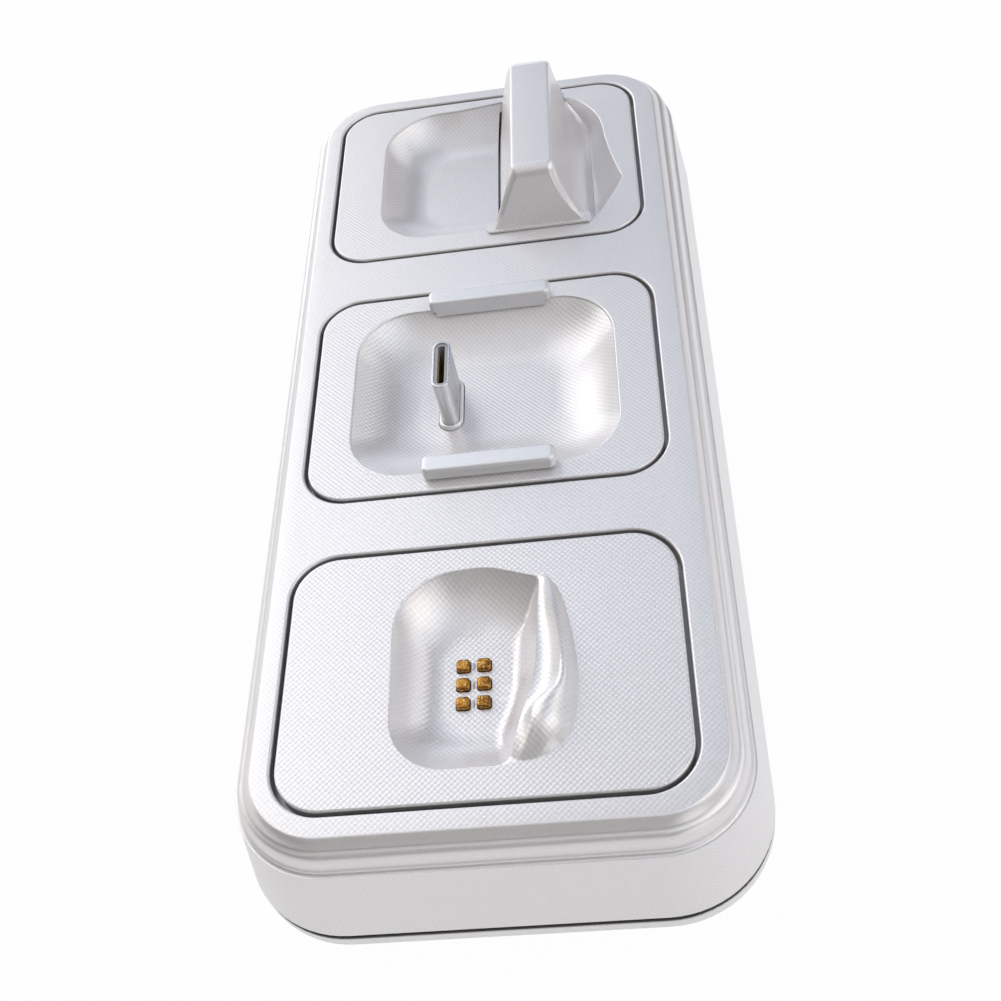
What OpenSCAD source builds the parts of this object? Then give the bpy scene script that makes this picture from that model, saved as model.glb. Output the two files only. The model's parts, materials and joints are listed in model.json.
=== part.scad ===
// Desk charging dock with three bays in one long housing.
// The front bay has six sprung contacts, the middle bay a fixed upright plug between two
// retaining bars, and the rear bay a saddle that stands in its pocket over a charging coil.
// Origin at the middle of the surface that the feet stand on, X across, Y to the rear, Z up.
// Inside the modules, depth is counted from the flat top of the dock: zero there, and down is negative.

/* [Bays] */
// Width of the three bays
bay_w = 46; // [38:0.5:56]
// Length of the front bay
front_bay_l = 33; // [31:0.5:42]
// Length of the middle bay and of the rear bay
rear_bay_l = 35.5; // [35:0.5:44]
// Distance between two neighbouring bays
bay_gap = 9.2; // [7:0.1:14]
// Corner radius of the bays
bay_r = 5.5; // [4:0.1:8]
// Dark gap between a tray and the housing
tray_gap = 0.5; // [0.3:0.05:0.8]
// Edge rounding on both sides of that gap
edge_r = 0.3; // [0.1:0.05:0.4]

/* [Housing] */
// Border beside the bays
border = 7.9; // [7.5:0.1:11]
// Border in front of the front bay
front_border = 7.7; // [7:0.1:11]
// Border behind the rear bay
rear_border = 7.2; // [7:0.1:11]
// How far the bays stand to the left of the middle
bay_shift = 0.4; // [0:0.1:1]
// Height from the underside of the base to the flat top
body_h = 19.5; // [19.5:0.5:27]
// Corner radius of the housing in plan
corner_r = 13; // [11.5:0.1:15]
// Thickness of the side wall
wall_t = 2; // [1.6:0.1:2.4]
// How far the side wall leans in from the base to the shoulder
lean = 1.95; // [0.6:0.05:2.3]
// Width of the shoulder from the side wall to the crease
shoulder_w = 1.7; // [1.4:0.05:2.4]
// Height of the shoulder
shoulder_h = 2.95; // [2.2:0.05:3.4]
// Size of the hollow curve at the foot of the shoulder
cove = 0.6; // [0.3:0.05:0.8]
// Width of the smooth band round the flat top
band_w = 1.1; // [0.6:0.1:1.4]
// Drop of that band to the crease
band_h = 1.1; // [0.8:0.1:1.4]

/* [Base] */
// Height of the rim of the base plate
base_h = 2.5; // [2.4:0.1:3.4]
// Thickness of the bottom of the base plate
floor_t = 2; // [1.8:0.1:2.4]
// Height of the dark line between the housing and the base
reveal_h = 0.8; // [0.4:0.05:0.9]
// Depth of that line
reveal_d = 0.9; // [0.5:0.05:1.2]
// Rounding of the lower edge of the base
base_r = 0.8; // [0.6:0.1:1.8]
// How far the feet stand below the base
foot_proud = 0.8; // [0.4:0.1:1.2]
// Radius of a foot
foot_r = 4.5; // [3.5:0.1:6]

/* [Trays] */
// Thickness of a tray at its edge
tray_t = 2.2; // [2:0.1:2.8]
// Width of the ledge that carries a tray
ledge_w = 1.6; // [1.2:0.1:2]
// Thickness of that ledge
ledge_t = 1.4; // [1:0.1:1.8]
// Depth of the pockets
pocket_d = 4; // [3.4:0.1:4.6]
// Wall thickness under a pocket
shell_t = 1.6; // [1.3:0.1:1.8]

/* [Contacts] */
// Distance between two contacts, both ways
contact_pitch = 2.45; // [2.3:0.05:3]
// Width of a contact head
contact_head = 1.6; // [1.3:0.05:1.75]
// How far a contact stands up at rest
contact_proud = 0.7; // [0.6:0.05:1]
// Travel of a contact
contact_travel = 0.5; // [0.3:0.05:0.55]
// Clearance round a contact head
head_gap = 0.08; // [0.05:0.01:0.12]
// Radial clearance of the pin's stem and flange in the barrel
pin_gap = 0.05; // [0.03:0.01:0.08]

/* [Plug] */
// Length of the plug's metal shell across its mouth
plug_l = 8.25; // [7.5:0.05:10]
// Thickness of that shell across its mouth
plug_w = 2.4; // [2.2:0.05:3]
// Sheet thickness of the metal shell
plug_sheet = 0.3; // [0.2:0.02:0.35]
// Height of the plug's mouth above the flat top
plug_up = 4.2; // [3:0.1:6]
// How much wider than the shell the moulded boot is on each side
boot_wall = 0.45; // [0.4:0.05:0.9]
// How far the boot stands above the pocket floor
boot_rise = 0.6; // [0.4:0.1:1.2]
// Clearance between parts that are pushed into each other
fit_gap = 0.1; // [0.05:0.01:0.15]

/* [Retaining bars] */
// Length of a retaining bar
bar_l = 17; // [12:0.5:22]
// Width of a retaining bar
bar_w = 2.7; // [2.4:0.05:2.9]
// Height of a retaining bar's top above the flat top
bar_h = 2.2; // [1.8:0.1:3]
// How far a retaining bar reaches over its pocket
bar_over = 1; // [0.6:0.1:1.2]

/* [Saddle] */
// Height of the saddle's flat ridge above the flat top
saddle_h = 8.6; // [6:0.1:12]
// Dark seam between the saddle and its pocket
saddle_seam = 0.35; // [0.2:0.05:0.45]
// Lean of the saddle's end faces, over its height
saddle_lean = 2.7; // [1.5:0.1:3.5]
// Rounding between the ridge of the saddle and its end faces
ridge_round = 1.3; // [0.6:0.1:1.6]

/* [Screws] */
// Shank radius of the base screws
screw_r = 1; // [0.8:0.05:1.2]
// Clearance of a screw shank in its hole
screw_gap = 0.03; // [0.02:0.01:0.05]

/* [Hidden] */
$fn = 48;
eps = 0.01;

// Overall plan of the dock and the middles of its bays
body_w = bay_w + 2 * border;
body_l = front_bay_l + 2 * rear_bay_l + 2 * bay_gap + front_border + rear_border;
top_z = foot_proud + body_h;
front_y = -body_l / 2 + front_border + front_bay_l / 2;
middle_y = front_y + front_bay_l / 2 + bay_gap + rear_bay_l / 2;
rear_y = middle_y + rear_bay_l + bay_gap;
bay_x = -bay_shift;
BAYS = [[front_y, front_bay_l], [middle_y, rear_bay_l], [rear_y, rear_bay_l]];

// Levels below the flat top
base_z = -body_h;
parting_z = base_z + base_h + reveal_h;
floor_z = base_z + floor_t;
ledge_z = -tray_t - ledge_t;
shell_z = -pocket_d - shell_t;

// The lip of the base plate inside the housing wall
lip_t = 1.2;
lip_h = 1.6;
lip_gap = 0.15;
lip_room = 0.4;
wall_gain = 0.2;
roof_drop = 0.4;
roof_in = 5;
// How far forms that are one piece reach into each other, and how far a cut runs past its form
bite = 0.5;
past = 1;

// Screw posts of the housing: one at each corner and one beside each end of the front gap
post_r = 2.2;
post_in = 7.3;
post_top = -3;
gap_y = front_y + (front_bay_l + bay_gap) / 2;
POSTS = [
  for (sx = [-1, 1]) each [
    [sx * (body_w / 2 - post_in), body_l / 2 - post_in],
    [sx * (body_w / 2 - post_in), -body_l / 2 + post_in],
    [sx * (body_w / 2 - wall_t - lean - post_r), gap_y]
  ]
];
screw_head_r = 1.9;
screw_head_h = 1.2;
screw_l = 7;
screw_room = 0.2;
blind_t = 0.8;

// Pocket outlines: each corner is [x, y, radius], counted from the middle of its bay
land_x = 5.4;
land_y = 3.15;
middle_rim = box_corners(bay_w / 2 - land_x, rear_bay_l / 2 - land_y, 7.5);
middle_floor = box_corners(bay_w / 2 - land_x - 8.5, rear_bay_l / 2 - land_y - 8.5, 4);
front_rim = [
  [6.7, 11.2, 0.7], [0.5, 13.3, 9], [-10.4, 12.6, 7.6], [-10.2, -12.5, 6.6],
  [2.9, -12.4, 1.6], [5.9, -2, 14]
];
front_floor = [
  [3, 4.5, 0.7], [-0.6, 5.4, 4], [-5, 5, 3], [-4.8, -6, 3], [1.1, -6, 0.8], [2.8, -1.5, 9]
];
rear_rim = [[3.5, 16.4, 0.4], [-4, 15.5, 16], [-15.9, 15.3, 8.6], [-15.9, -14.1, 7.2], [3.5, -14.1, 0.4]];
rear_floor = [[3.4, 8.4, 0.3], [-3, 8, 6], [-9.6, 7.6, 4], [-9.6, -7.2, 3.6], [3.4, -7, 0.3]];
rim_r = 0.3;
// How much wider the rounded underside is than the pocket at its rim and at its floor
rim_wall = 1.1;
floor_wall = 0.9;

// The fin at the right of the front pocket: places along it, counted from the middle of its bay
FIN_INNER = [[-12.6, 3.2], [-9.8, 3.9], [-6.2, 4.8], [-2.9, 5.6], [2.5, 6], [8.6, 6.4], [12, 6.7]];
FIN_RIDGE = [
  [-12.6, 3.9], [-10.6, 5.2], [-8.7, 5.8], [-7.4, 6], [-6, 6.8], [-4.9, 8.2], [-3, 9], [1, 9.1],
  [6, 8.3], [10.2, 7.5], [12, 7]
];
FIN_OUTER = [
  [-12.6, 4], [-12.2, 6], [-11.4, 7.6], [-10.2, 9.2], [-7.6, 10.4], [-3, 10.9], [2, 10.6],
  [7.6, 9.6], [10, 8.7], [12, 7.2]
];
FIN_INNER_H = [[-12.6, -0.3], [-9.8, 0.5], [-6.2, 1.1], [2.5, 1.1], [8, 0.7], [10.8, 0.1], [12, -0.25]];
FIN_RIDGE_H = [
  [-12.6, -0.3], [-10.6, 1.1], [-8.7, 2.1], [-6, 2.3], [1, 2.2], [6, 1.7], [9, 0.9], [10.8, 0.3], [12, -0.25]
];
FIN_DOME = [[-12.6, 0], [-9.5, 0.35], [-6.5, 0.5], [-3, 0.25], [0, 0]];
FIN_DIP = [[-12.6, 0], [-8.5, 0.1], [-5.5, 0.5], [0, 0.9], [7, 0.6], [12, 0]];
FIN_ROWS = [[0, -12.5], [9, -10.6], [17, -7.4], [36, 11.9]];
fin_sink = 1;

// The saddle, counted from the middle of its bay
saddle_near = -15.1;
saddle_far = 16.8;
ridge_left = 5.6;
ridge_right = 10.6;
ridge_edge_w = 0.6;
ridge_edge_h = 0.5;
saddle_left = 1.75;
side_edge = 0.6;
foot_gap = 0.12;
ledge_out = 0.35;
ledge_l = 2;
ledge_h = 0.3;
flare_l = 8;
flare_left = 2;
flare_right = 2.8;
// How far the right flank stands out beyond the ridge, at shares of its height
FLANK = [[0, 1.45], [0.21, 1], [0.62, 0.35], [1, 0]];
// Places along the saddle where its section is drawn, from the near to the far end of its neck
STATIONS = [
  -13.8, -13, -12.2, -11.4, -10.6, -9.8, -9, -7.6, -6.4, -5.7, -5, -3.6, -1.6, 1, 4, 7, 9, 9.8,
  10.6, 11.4, 12.2, 13, 13.8, 14.4, 15
];
neck_near = STATIONS[0];
neck_far = STATIONS[len(STATIONS) - 1];
full_near = min([for (y = STATIONS) if (y > saddle_near + saddle_lean + ridge_round) y]);
full_far = max([for (y = STATIONS) if (y < saddle_far - saddle_lean - ridge_round) y]);
HEIGHTS = concat(
  [for (i = [0:8]) foot_gap + (saddle_h - ridge_edge_h - foot_gap) * i / 8],
  [saddle_h - 0.3 * ridge_edge_h, saddle_h]
);
// Depths of the neck's section as shares of the depth beside it
SHARES = [1, 0.97, 0.88, 0.72, 0.5, 0.25];
neck_z = shell_z + 0.1;
neck_inset = 0.02;
flank_gap = 0.05;
well_t = 1.4;
saddle_wall = 1.3;
saddle_screw_x = 8.4;
SADDLE_SCREWS = [-7.5, 8.5];
saddle_post_r = 1.9;
// Right rim of the scoop beside the saddle, and the line along its bottom
SCOOP_RIM = [
  [-15.2, 15.5], [-13.9, 16.5], [-11.6, 17.9], [-8.3, 19.6], [-6.4, 20.45], [-5.7, 20.6], [-5, 20.4],
  [-2.4, 19.7], [0.7, 19.05], [3.6, 18.55], [7.7, 18.15], [10.2, 17.4], [12.35, 16.2], [14.3, 14.5], [15.2, 13]
];
scoop_x = 16.1;
scoop_wall = 0.8;
scoop_flat = 9;
scoop_t = 1.2;
scoop_l = 15.3;

// The contact group, counted from the middle of its bay
contact_x = -1.5;
contact_y = -0.25;
CONTACTS = [for (row = [1, 0, -1], col = [-0.5, 0.5]) [contact_x + col * contact_pitch, contact_y + row * contact_pitch]];
stem_r = 0.4;
flange_r = 0.75;
flange_h = 0.6;
head_l = contact_head - 0.1;
head_z = -pocket_d + contact_proud;
head_h = 1.8;
head_r = 0.4;
head_round = 0.25;
barrel_wall = 0.22;
barrel_r = flange_r + pin_gap + barrel_wall;
barrel_top = head_z - head_h - contact_travel - 0.3;
barrel_lid = 0.4;
barrel_floor = 0.4;
spring_l = 2.8;
flange_top = barrel_top - barrel_lid - pin_gap;
spring_top = flange_top - flange_h;
spring_bottom = spring_top - spring_l;
barrel_bottom = spring_bottom - barrel_floor;
wire_r = 0.1;
spring_turns = 4;
carrier_wall = 1.2;
carrier_top = shell_z - fit_gap;
carrier_h = 3.4;
board_t = 0.8;
board_r = 1;
contact_board_w = 17;
contact_board_l = 13;
contact_screw_x = 6.3;
small_screw_r = 0.6;
small_head_r = 1.1;
small_head_h = 0.6;
small_room = 0.1;
contact_screw_l = 4;
plug_screw_l = 2.2;
saddle_screw_l = 5.5;
boss_r = 1.5;

// The upright plug and its board
plug_x = -5;
boot_top = -pocket_d + boot_rise;
boot_flange = 0.9;
boot_flange_t = 1.3;
boot_round = 0.35;
shell_round = 0.12;
plug_foot = shell_z - fit_gap - boot_flange_t;
plug_recess = 0.15;
slot_w = 0.95;
slot_l = 6.7;
slot_r = 0.3;
slot_d = 5;
strip_w = 0.25;
strip_t = 0.12;
strip_pitch = 0.5;
strip_count = 12;
strip_l = 4.3;
plug_board_w = 12;
plug_board_l = 22;
plug_screw_y = 8.8;

// Retaining bars
bar_x = 0.9;
bar_r = 0.9;
bar_round = 0.5;
bar_lift = 0.3;
bar_drop = 0.5;
bar_foot_w = 0.9;
peg_r = 0.5;
peg_short = 0.2;
bar_foot_mid = 0.85;
bar_foot_in = 1.2;
bar_cut = 0.2;
peg_x = 6;

// Hooks under the trays
hook_w = 5;
hook_t = 1.2;
hook_reach = 0.8;
hook_nose = 0.4;
hook_drop = 1.5;

// Main board and what it carries
main_t = 1.2;
main_rise = 2.7;
main_z = floor_z + main_rise + main_t;
main_w = min(42, bay_w - 4);
main_near = gap_y - 6;
main_far = body_l / 2 - wall_t - lip_gap - lip_t - 0.6;
STANDOFFS = [for (sx = [-1, 1]) each [[sx * (main_w / 2 - 4), main_near + 5], [sx * (main_w / 2 - 4), main_far - 10]]];
standoff_r = 2.2;
board_screw_r = 0.8;
board_head_r = 1.6;
board_head_h = 0.9;
board_screw_bite = 3.4;
inlet_w = 8.94;
inlet_h = 3.16;
inlet_l = 7.3;
inlet_sheet = 0.3;
inlet_gap = 0.25;
inlet_in = 1.2;
inlet_back = 1;
tongue_w = 6.6;
tongue_t = 0.7;
tongue_in = 0.8;
inlet_z = main_z + inlet_h / 2;
coil_x = -9.9;
coil_r = 8.2;
coil_hole_r = 3.5;
coil_t = 0.8;
coil_z = shell_z - fit_gap - coil_t;
shield_r = 8.6;
shield_t = 0.6;
socket_w = 6;
socket_l = 3;
socket_h = 1.6;
lead_t = 0.3;
lead_w = 5;
lead_step = 0.5;

function unit(v) = v / norm(v);

function box_corners(hx, hy, r) = [[hx, hy, r], [-hx, hy, r], [-hx, -hy, r], [hx, -hy, r]];

// Value at place t of a list of [place, value], on a smooth curve through them
function along(list, t, i = 0) =
  t <= list[0][0] ? list[0][1]
  : i >= len(list) - 1 ? list[len(list) - 1][1]
  : t > list[i + 1][0] ? along(list, t, i + 1)
  : let (
      a = list[i], b = list[i + 1], span = b[0] - a[0], s = (t - a[0]) / span,
      ga = slope(list, i) * span, gb = slope(list, i + 1) * span
    )
    a[1] * (2 * s ^ 3 - 3 * s ^ 2 + 1) + ga * (s ^ 3 - 2 * s ^ 2 + s)
    + b[1] * (3 * s ^ 2 - 2 * s ^ 3) + gb * (s ^ 3 - s ^ 2);

// Slope of that curve at its point i
function slope(list, i) =
  let (before = list[max(0, i - 1)], after = list[min(len(list) - 1, i + 1)])
  (after[1] - before[1]) / (after[0] - before[0]);

// Points of an arc of radius r that rounds the corner p between the points a and b
function corner_arc(a, p, b, r, n) =
  let (
    u = unit(a - p), v = unit(b - p), half = acos(u * v) / 2,
    middle = p + unit(u + v) * r / sin(half),
    from = p + u * r / tan(half) - middle,
    to = p + v * r / tan(half) - middle,
    start = atan2(from[1], from[0]),
    turn = (cross(from, to) > 0 ? 1 : -1) * (180 - 2 * half)
  )
  [for (i = [0:n]) middle + r * [cos(start + turn * i / n), sin(start + turn * i / n)]];

// Closed outline with every corner rounded by n steps
function outline(corners, n) = [
  for (i = [0:len(corners) - 1])
    let (
      count = len(corners), p = corners[i],
      a = corners[(i + count - 1) % count], b = corners[(i + 1) % count]
    )
    each corner_arc([a[0], a[1]], [p[0], p[1]], [b[0], b[1]], p[2], n)
];

function centre_of(points) = [for (p = points) 1] * points / len(points);

// The outline moved outwards from its middle
function grown(points, by) = let (c = centre_of(points)) [for (p = points) p + by * unit(p - c)];

function at_height(points, z) = [for (p = points) [p[0], p[1], z]];

// Rings of a bowl that falls from its rim to its floor with an ever gentler slope
function bowl_rings(rim, bottom, top, depth, steps) = [
  for (i = [0:steps])
    let (t = 1 - i / steps)
    at_height(rim + (bottom - rim) * t, top - depth * (1 - (1 - t) ^ 2))
];

// Rings that round the rim of a pocket and carry the cut up past the top
function rim_rings(rim, up) = [
  for (a = [30, 60, 90]) at_height(grown(rim, rim_r * (1 - cos(a))), rim_r * (sin(a) - 1)),
  at_height(grown(rim, rim_r), up)
];

// Closed skin through a list of rings, with a fan of triangles over each end
module loft(rings) {
  n = len(rings[0]);
  last = len(rings) - 1;
  points = [for (ring = rings) each ring];
  side = [
    for (k = [0:last - 1], i = [0:n - 1])
      let (j = (i + 1) % n, a = k * n + i, b = k * n + j)
      each [[a, a + n, b + n], [a, b + n, b]]
  ];
  first_mid = len(points);
  ends = [
    for (i = [0:n - 1])
      let (j = (i + 1) % n)
      each [[first_mid, i, j], [first_mid + 1, last * n + j, last * n + i]]
  ];
  polyhedron(concat(points, [centre_of(rings[0]), centre_of(rings[last])]), concat(side, ends), convexity = 8);
}

// Flat plate with rounded corners, from the level z0 up to z1
module plate(w, l, r, z0, z1) {
  translate([0, 0, z0])
    linear_extrude(z1 - z0) {
      square([w - 2 * r, l], center = true);
      square([w, l - 2 * r], center = true);
      for (x = [-1, 1], y = [-1, 1]) translate([x * (w / 2 - r), y * (l / 2 - r)]) circle(r);
    }
}

// Slab with rounded corners whose edge follows a profile of [inset, level] points, from the bottom up
module slab(w, l, r, profile) {
  low = profile[0][1];
  high = profile[len(profile) - 1][1];
  across = [for (p = profile) [w / 2 - p[0], p[1]]];
  lengthwise = [for (p = profile) [l / 2 - p[0], p[1]]];
  for (quarter = [0:3])
    let (sx = quarter == 0 || quarter == 3 ? 1 : -1, sy = quarter < 2 ? 1 : -1)
    translate([sx * (w / 2 - r), sy * (l / 2 - r), 0])
      rotate([0, 0, 90 * quarter])
        rotate_extrude(angle = 90)
          polygon(concat([[0, low]], [for (p = profile) [r - p[0], p[1]]], [[0, high]]));
  rotate([90, 0, 0]) linear_extrude(l - 2 * r, center = true) polygon(mirrored(across));
  rotate([90, 0, 90]) linear_extrude(w - 2 * r, center = true) polygon(mirrored(lengthwise));
}

function mirrored(side) = concat(side, [for (i = [len(side) - 1:-1:0]) [-side[i][0], side[i][1]]]);

// Profile of a quarter round of radius r that ends at inset + r on the level high
function quarter_round(inset, high, r) = [
  for (a = [0:18:90]) [inset + r * (1 - cos(a)), high - r * (1 - sin(a))]
];

module on_top() translate([0, 0, top_z]) children();

module in_bay(y = 0) translate([bay_x, y, top_z]) children();

module at_each(places) for (p = places) translate([p[0], p[1], 0]) children();

// Outer form of the housing above the base: leaning wall, hollow and round shoulder, crease, band
edge_cut = 0.2;
lip_edge = 0.1;
crease_w = 0.15;
crease_h = 0.1;
wall_top = -band_h - crease_h - shoulder_h;
shoulder_profile = [
  [edge_cut, parting_z], [0, parting_z + edge_cut], [lean, wall_top],
  for (a = [0:22.5:89])
    [lean + lip_edge + (cove - lip_edge) * sin(a), wall_top + cove * (1 - cos(a))],
  for (a = [0:15:90])
    [lean + cove + (shoulder_w - cove) * (1 - cos(a)), wall_top + cove + (shoulder_h - cove) * sin(a)],
  for (i = [6:-1:0])
    [lean + shoulder_w + crease_w + band_w * (1 - i / 6), -band_h * (i / 6) ^ 1.35]
];

// Space inside it: straight beside the lip of the base, then leaning, then a sloping roof
cavity_profile = [
  [wall_t, parting_z - 1], [wall_t, parting_z + lip_h + lip_room],
  [wall_t + lean + wall_gain, ledge_z - roof_drop], [wall_t + roof_in, -tray_t]
];

base_profile = concat(
  [for (a = [0:18:90]) [base_r * (1 - sin(a)), base_z + base_r * (1 - cos(a))]],
  [[0, base_z + base_h - edge_cut], [edge_cut, base_z + base_h]]
);

// Slab for the form outside: the same plan at every inset
module body_slab(profile) slab(body_w, body_l, corner_r, profile);

module body_plate(inset, z0, z1)
  plate(body_w - 2 * inset, body_l - 2 * inset, corner_r - inset, z0, z1);

module upper_housing() {
  color([0.9, 0.9, 0.92])
    on_top()
      difference() {
        union() {
          difference() {
            body_slab(shoulder_profile);
            body_slab(cavity_profile);
          }
          for (bay = BAYS)
            translate([bay_x, bay[0], 0]) plate(bay_w + 4, bay[1] + 4, bay_r + 2, ledge_z, -tray_t + bite);
          at_each(POSTS) translate([0, 0, floor_z]) cylinder(r = post_r, h = post_top - floor_z);
        }
        for (bay = BAYS)
          translate([bay_x, bay[0], 0]) {
            bay_cut(bay[1]);
            plate(bay_w - 2 * ledge_w, bay[1] - 2 * ledge_w, bay_r - ledge_w, ledge_z - past, -past);
          }
        at_each(POSTS)
          translate([0, 0, floor_z - eps]) cylinder(r = screw_r + screw_gap, h = screw_l + bite);
        inlet_opening();
      }
}

// Recess of a bay in the flat top, with its upper edge rounded
module bay_cut(l) {
  slab(bay_w, l, bay_r, concat(
    [[-tray_gap, -tray_t]],
    [for (a = [0:18:90]) [-tray_gap - edge_r * (1 - cos(a)), -edge_r * (1 - sin(a))]],
    [[-tray_gap - edge_r, past]]
  ));
}

// Rounded slot through the rear wall for the power inlet
module inlet_opening() {
  w = inlet_w + 2 * inlet_gap;
  h = inlet_h + 2 * inlet_gap;
  translate([0, body_l / 2, inlet_z]) rotate([90, 0, 0]) plate(w, h, h / 2 - eps, -past, wall_t + lean + past);
}

module base_plate() {
  color([0.85, 0.85, 0.88])
    on_top()
      difference() {
        union() {
          body_slab(base_profile);
          body_plate(reveal_d, base_z + base_h - bite, parting_z);
          body_plate(wall_t + lip_gap, parting_z - bite, parting_z + lip_h);
        }
        difference() {
          body_plate(wall_t + lip_gap + lip_t, floor_z, parting_z + lip_h + past);
          at_each(STANDOFFS)
            translate([0, 0, floor_z - past]) cylinder(r = standoff_r, h = main_rise + past);
        }
        at_each(POSTS) {
          translate([0, 0, floor_z]) cylinder(r = post_r + lip_gap, h = body_h);
          translate([0, 0, base_z - past]) cylinder(r = screw_r + screw_room, h = floor_t + 2 * past);
          translate([0, 0, base_z - past]) cylinder(r = screw_head_r + screw_room, h = past + screw_head_h);
        }
        at_each(STANDOFFS)
          translate([0, 0, base_z + blind_t]) cylinder(r = board_screw_r + screw_gap, h = body_h);
        at_each(FEET) translate([0, 0, base_z - past]) cylinder(r = foot_r + fit_gap, h = past + foot_seat);
      }
}

foot_in = [11, 13];
foot_seat = 0.8;
foot_cut = 0.4;
FEET = [for (sx = [-1, 1], sy = [-1, 1]) [sx * (body_w / 2 - foot_in[0]), sy * (body_l / 2 - foot_in[1])]];

module rubber_feet() {
  color([0.2, 0.2, 0.22])
    on_top() at_each(FEET) translate([0, 0, base_z - foot_proud]) {
      cylinder(r1 = foot_r - foot_cut, r2 = foot_r, h = foot_cut);
      translate([0, 0, foot_cut]) cylinder(r = foot_r, h = foot_proud + foot_seat - foot_cut);
    }
}

// Edge plate of a tray with its hooks
module tray_plate(l) {
  slab(bay_w, l, bay_r, concat([[0, -tray_t]], quarter_round(0, 0, edge_r)));
  for (side = [-1, 1], y = [-l / 4, l / 4]) translate([0, y, 0]) scale_x(side) hook();
}

module scale_x(side) rotate([0, 0, side < 0 ? 180 : 0]) children();

// Snap hook that reaches under the ledge
module hook() {
  out = bay_w / 2 - ledge_w - lip_gap;
  under = ledge_z - fit_gap;
  rotate([90, 0, 0])
    linear_extrude(hook_w, center = true)
      polygon([
        [out - hook_t, bite - tray_t], [out, bite - tray_t], [out, under], [out + hook_reach, under],
        [out + hook_reach, under - hook_nose], [out, under - hook_drop], [out - hook_t, under - hook_drop]
      ]);
}

// Rounded underside of a pocket
module pocket_shell(rim, bottom) {
  loft(bowl_rings(grown(outline(rim, 3), rim_wall), grown(outline(bottom, 3), floor_wall), -bite, -shell_z - bite, 5));
}

// The pocket itself, from its floor up past the flat top
module pocket_cut(rim, bottom, up) {
  edge = outline(rim, 10);
  loft(concat(
    bowl_rings(edge, outline(bottom, 10), -rim_r, pocket_d - rim_r, 9),
    rim_rings(edge, up)
  ));
}

module front_tray() {
  color([0.91, 0.91, 0.93])
    in_bay(front_y)
      difference() {
        union() {
          difference() {
            union() {
              tray_plate(front_bay_l);
              pocket_shell(front_rim, front_floor);
              fin();
            }
            pocket_cut(front_rim, front_floor, pocket_d);
          }
          for (side = [-1, 1]) tray_boss(contact_x + side * contact_screw_x, contact_y, barrel_bottom, -pocket_d);
        }
        at_each(CONTACTS)
          plate(contact_head + 2 * head_gap, head_l + 2 * head_gap, head_r, shell_z - past, -pocket_d + past);
        for (side = [-1, 1]) boss_hole(contact_x + side * contact_screw_x, contact_y, barrel_bottom, contact_screw_l);
      }
}

module tray_boss(x, y, z0, z1) translate([x, y, z0]) cylinder(r = boss_r, h = z1 - z0);

module boss_hole(x, y, z0, depth)
  translate([x, y, z0 - eps]) cylinder(r = small_screw_r + screw_gap, h = depth);

// Raised fin with two ridges, a dip between them and a domed outer side
module fin() {
  loft([for (i = [0:FIN_ROWS[3][0]]) fin_section(along(FIN_ROWS, i))]);
}

function fin_section(y) =
  let (
    inner = along(FIN_INNER, y) - 0.6, ridge = along(FIN_RIDGE, y), outer = along(FIN_OUTER, y),
    inner_h = along(FIN_INNER_H, y), ridge_h = along(FIN_RIDGE_H, y)
  )
  concat(
    [[inner, y, -fin_sink]],
    [for (t = [0:0.2:1])
      [inner + (ridge - inner) * t, y, inner_h + (ridge_h - inner_h) * t ^ 2 - along(FIN_DIP, y) * 4 * t ^ 1.5 * (1 - t)]],
    [for (t = [0.12:0.125:1])
      [ridge + (outer - ridge) * t, y, ridge_h * (1 - t ^ 2.2) + along(FIN_DOME, y) * 4 * t * (1 - t)]],
    [[outer + 0.1, y, -fin_sink]]
  );

module middle_tray() {
  color([0.91, 0.91, 0.93])
    in_bay(middle_y)
      difference() {
        union() {
          difference() {
            union() {
              tray_plate(rear_bay_l);
              pocket_shell(middle_rim, middle_floor);
            }
            pocket_cut(middle_rim, middle_floor, past);
          }
          for (side = [-1, 1]) tray_boss(plug_x, side * plug_screw_y, plug_foot, shell_z + bite);
        }
        translate([plug_x, 0, 0]) stadium(boot_w(fit_gap), boot_l(fit_gap), shell_z - past, -pocket_d + past);
        for (side = [-1, 1]) {
          boss_hole(plug_x, side * plug_screw_y, plug_foot, plug_screw_l - board_t + 0.3);
          at_each(peg_places(side)) translate([0, 0, -tray_t - past]) cylinder(r = peg_r + screw_gap, h = tray_t + 2 * past);
        }
      }
}

// Outer sizes of the boot, with a clearance all round
function boot_w(gap) = plug_w + 2 * boot_wall + 2 * gap;
function boot_l(gap) = plug_l + 2 * boot_wall + 2 * gap;

// Upright plate with fully rounded ends
module stadium(w, l, z0, z1) plate(w, l, w / 2 - eps, z0, z1);

module plug_boot() {
  color([0.88, 0.88, 0.9])
    in_bay(middle_y)
      translate([plug_x, 0, 0])
        difference() {
          union() {
            slab(boot_w(0), boot_l(0), boot_w(0) / 2 - eps, concat([[0, plug_foot]], quarter_round(0, boot_top, boot_round)));
            plate(boot_w(boot_flange), boot_l(boot_flange), board_r, plug_foot, plug_foot + boot_flange_t);
          }
          stadium(plug_w + 2 * screw_gap, plug_l + 2 * screw_gap, plug_foot - past, boot_top + past);
        }
}

module plug_shell() {
  color([0.72, 0.72, 0.75])
    in_bay(middle_y)
      translate([plug_x, 0, 0])
        difference() {
          slab(plug_w, plug_l, plug_w / 2 - eps, concat([[0, plug_foot]], quarter_round(0, plug_up, shell_round)));
          stadium(plug_w - 2 * plug_sheet, plug_l - 2 * plug_sheet, plug_foot - past, plug_up + past);
        }
}

core_w = plug_w - 2 * plug_sheet - 2 * screw_gap;
core_l = plug_l - 2 * plug_sheet - 2 * screw_gap;
core_top = plug_up - plug_recess;

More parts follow.
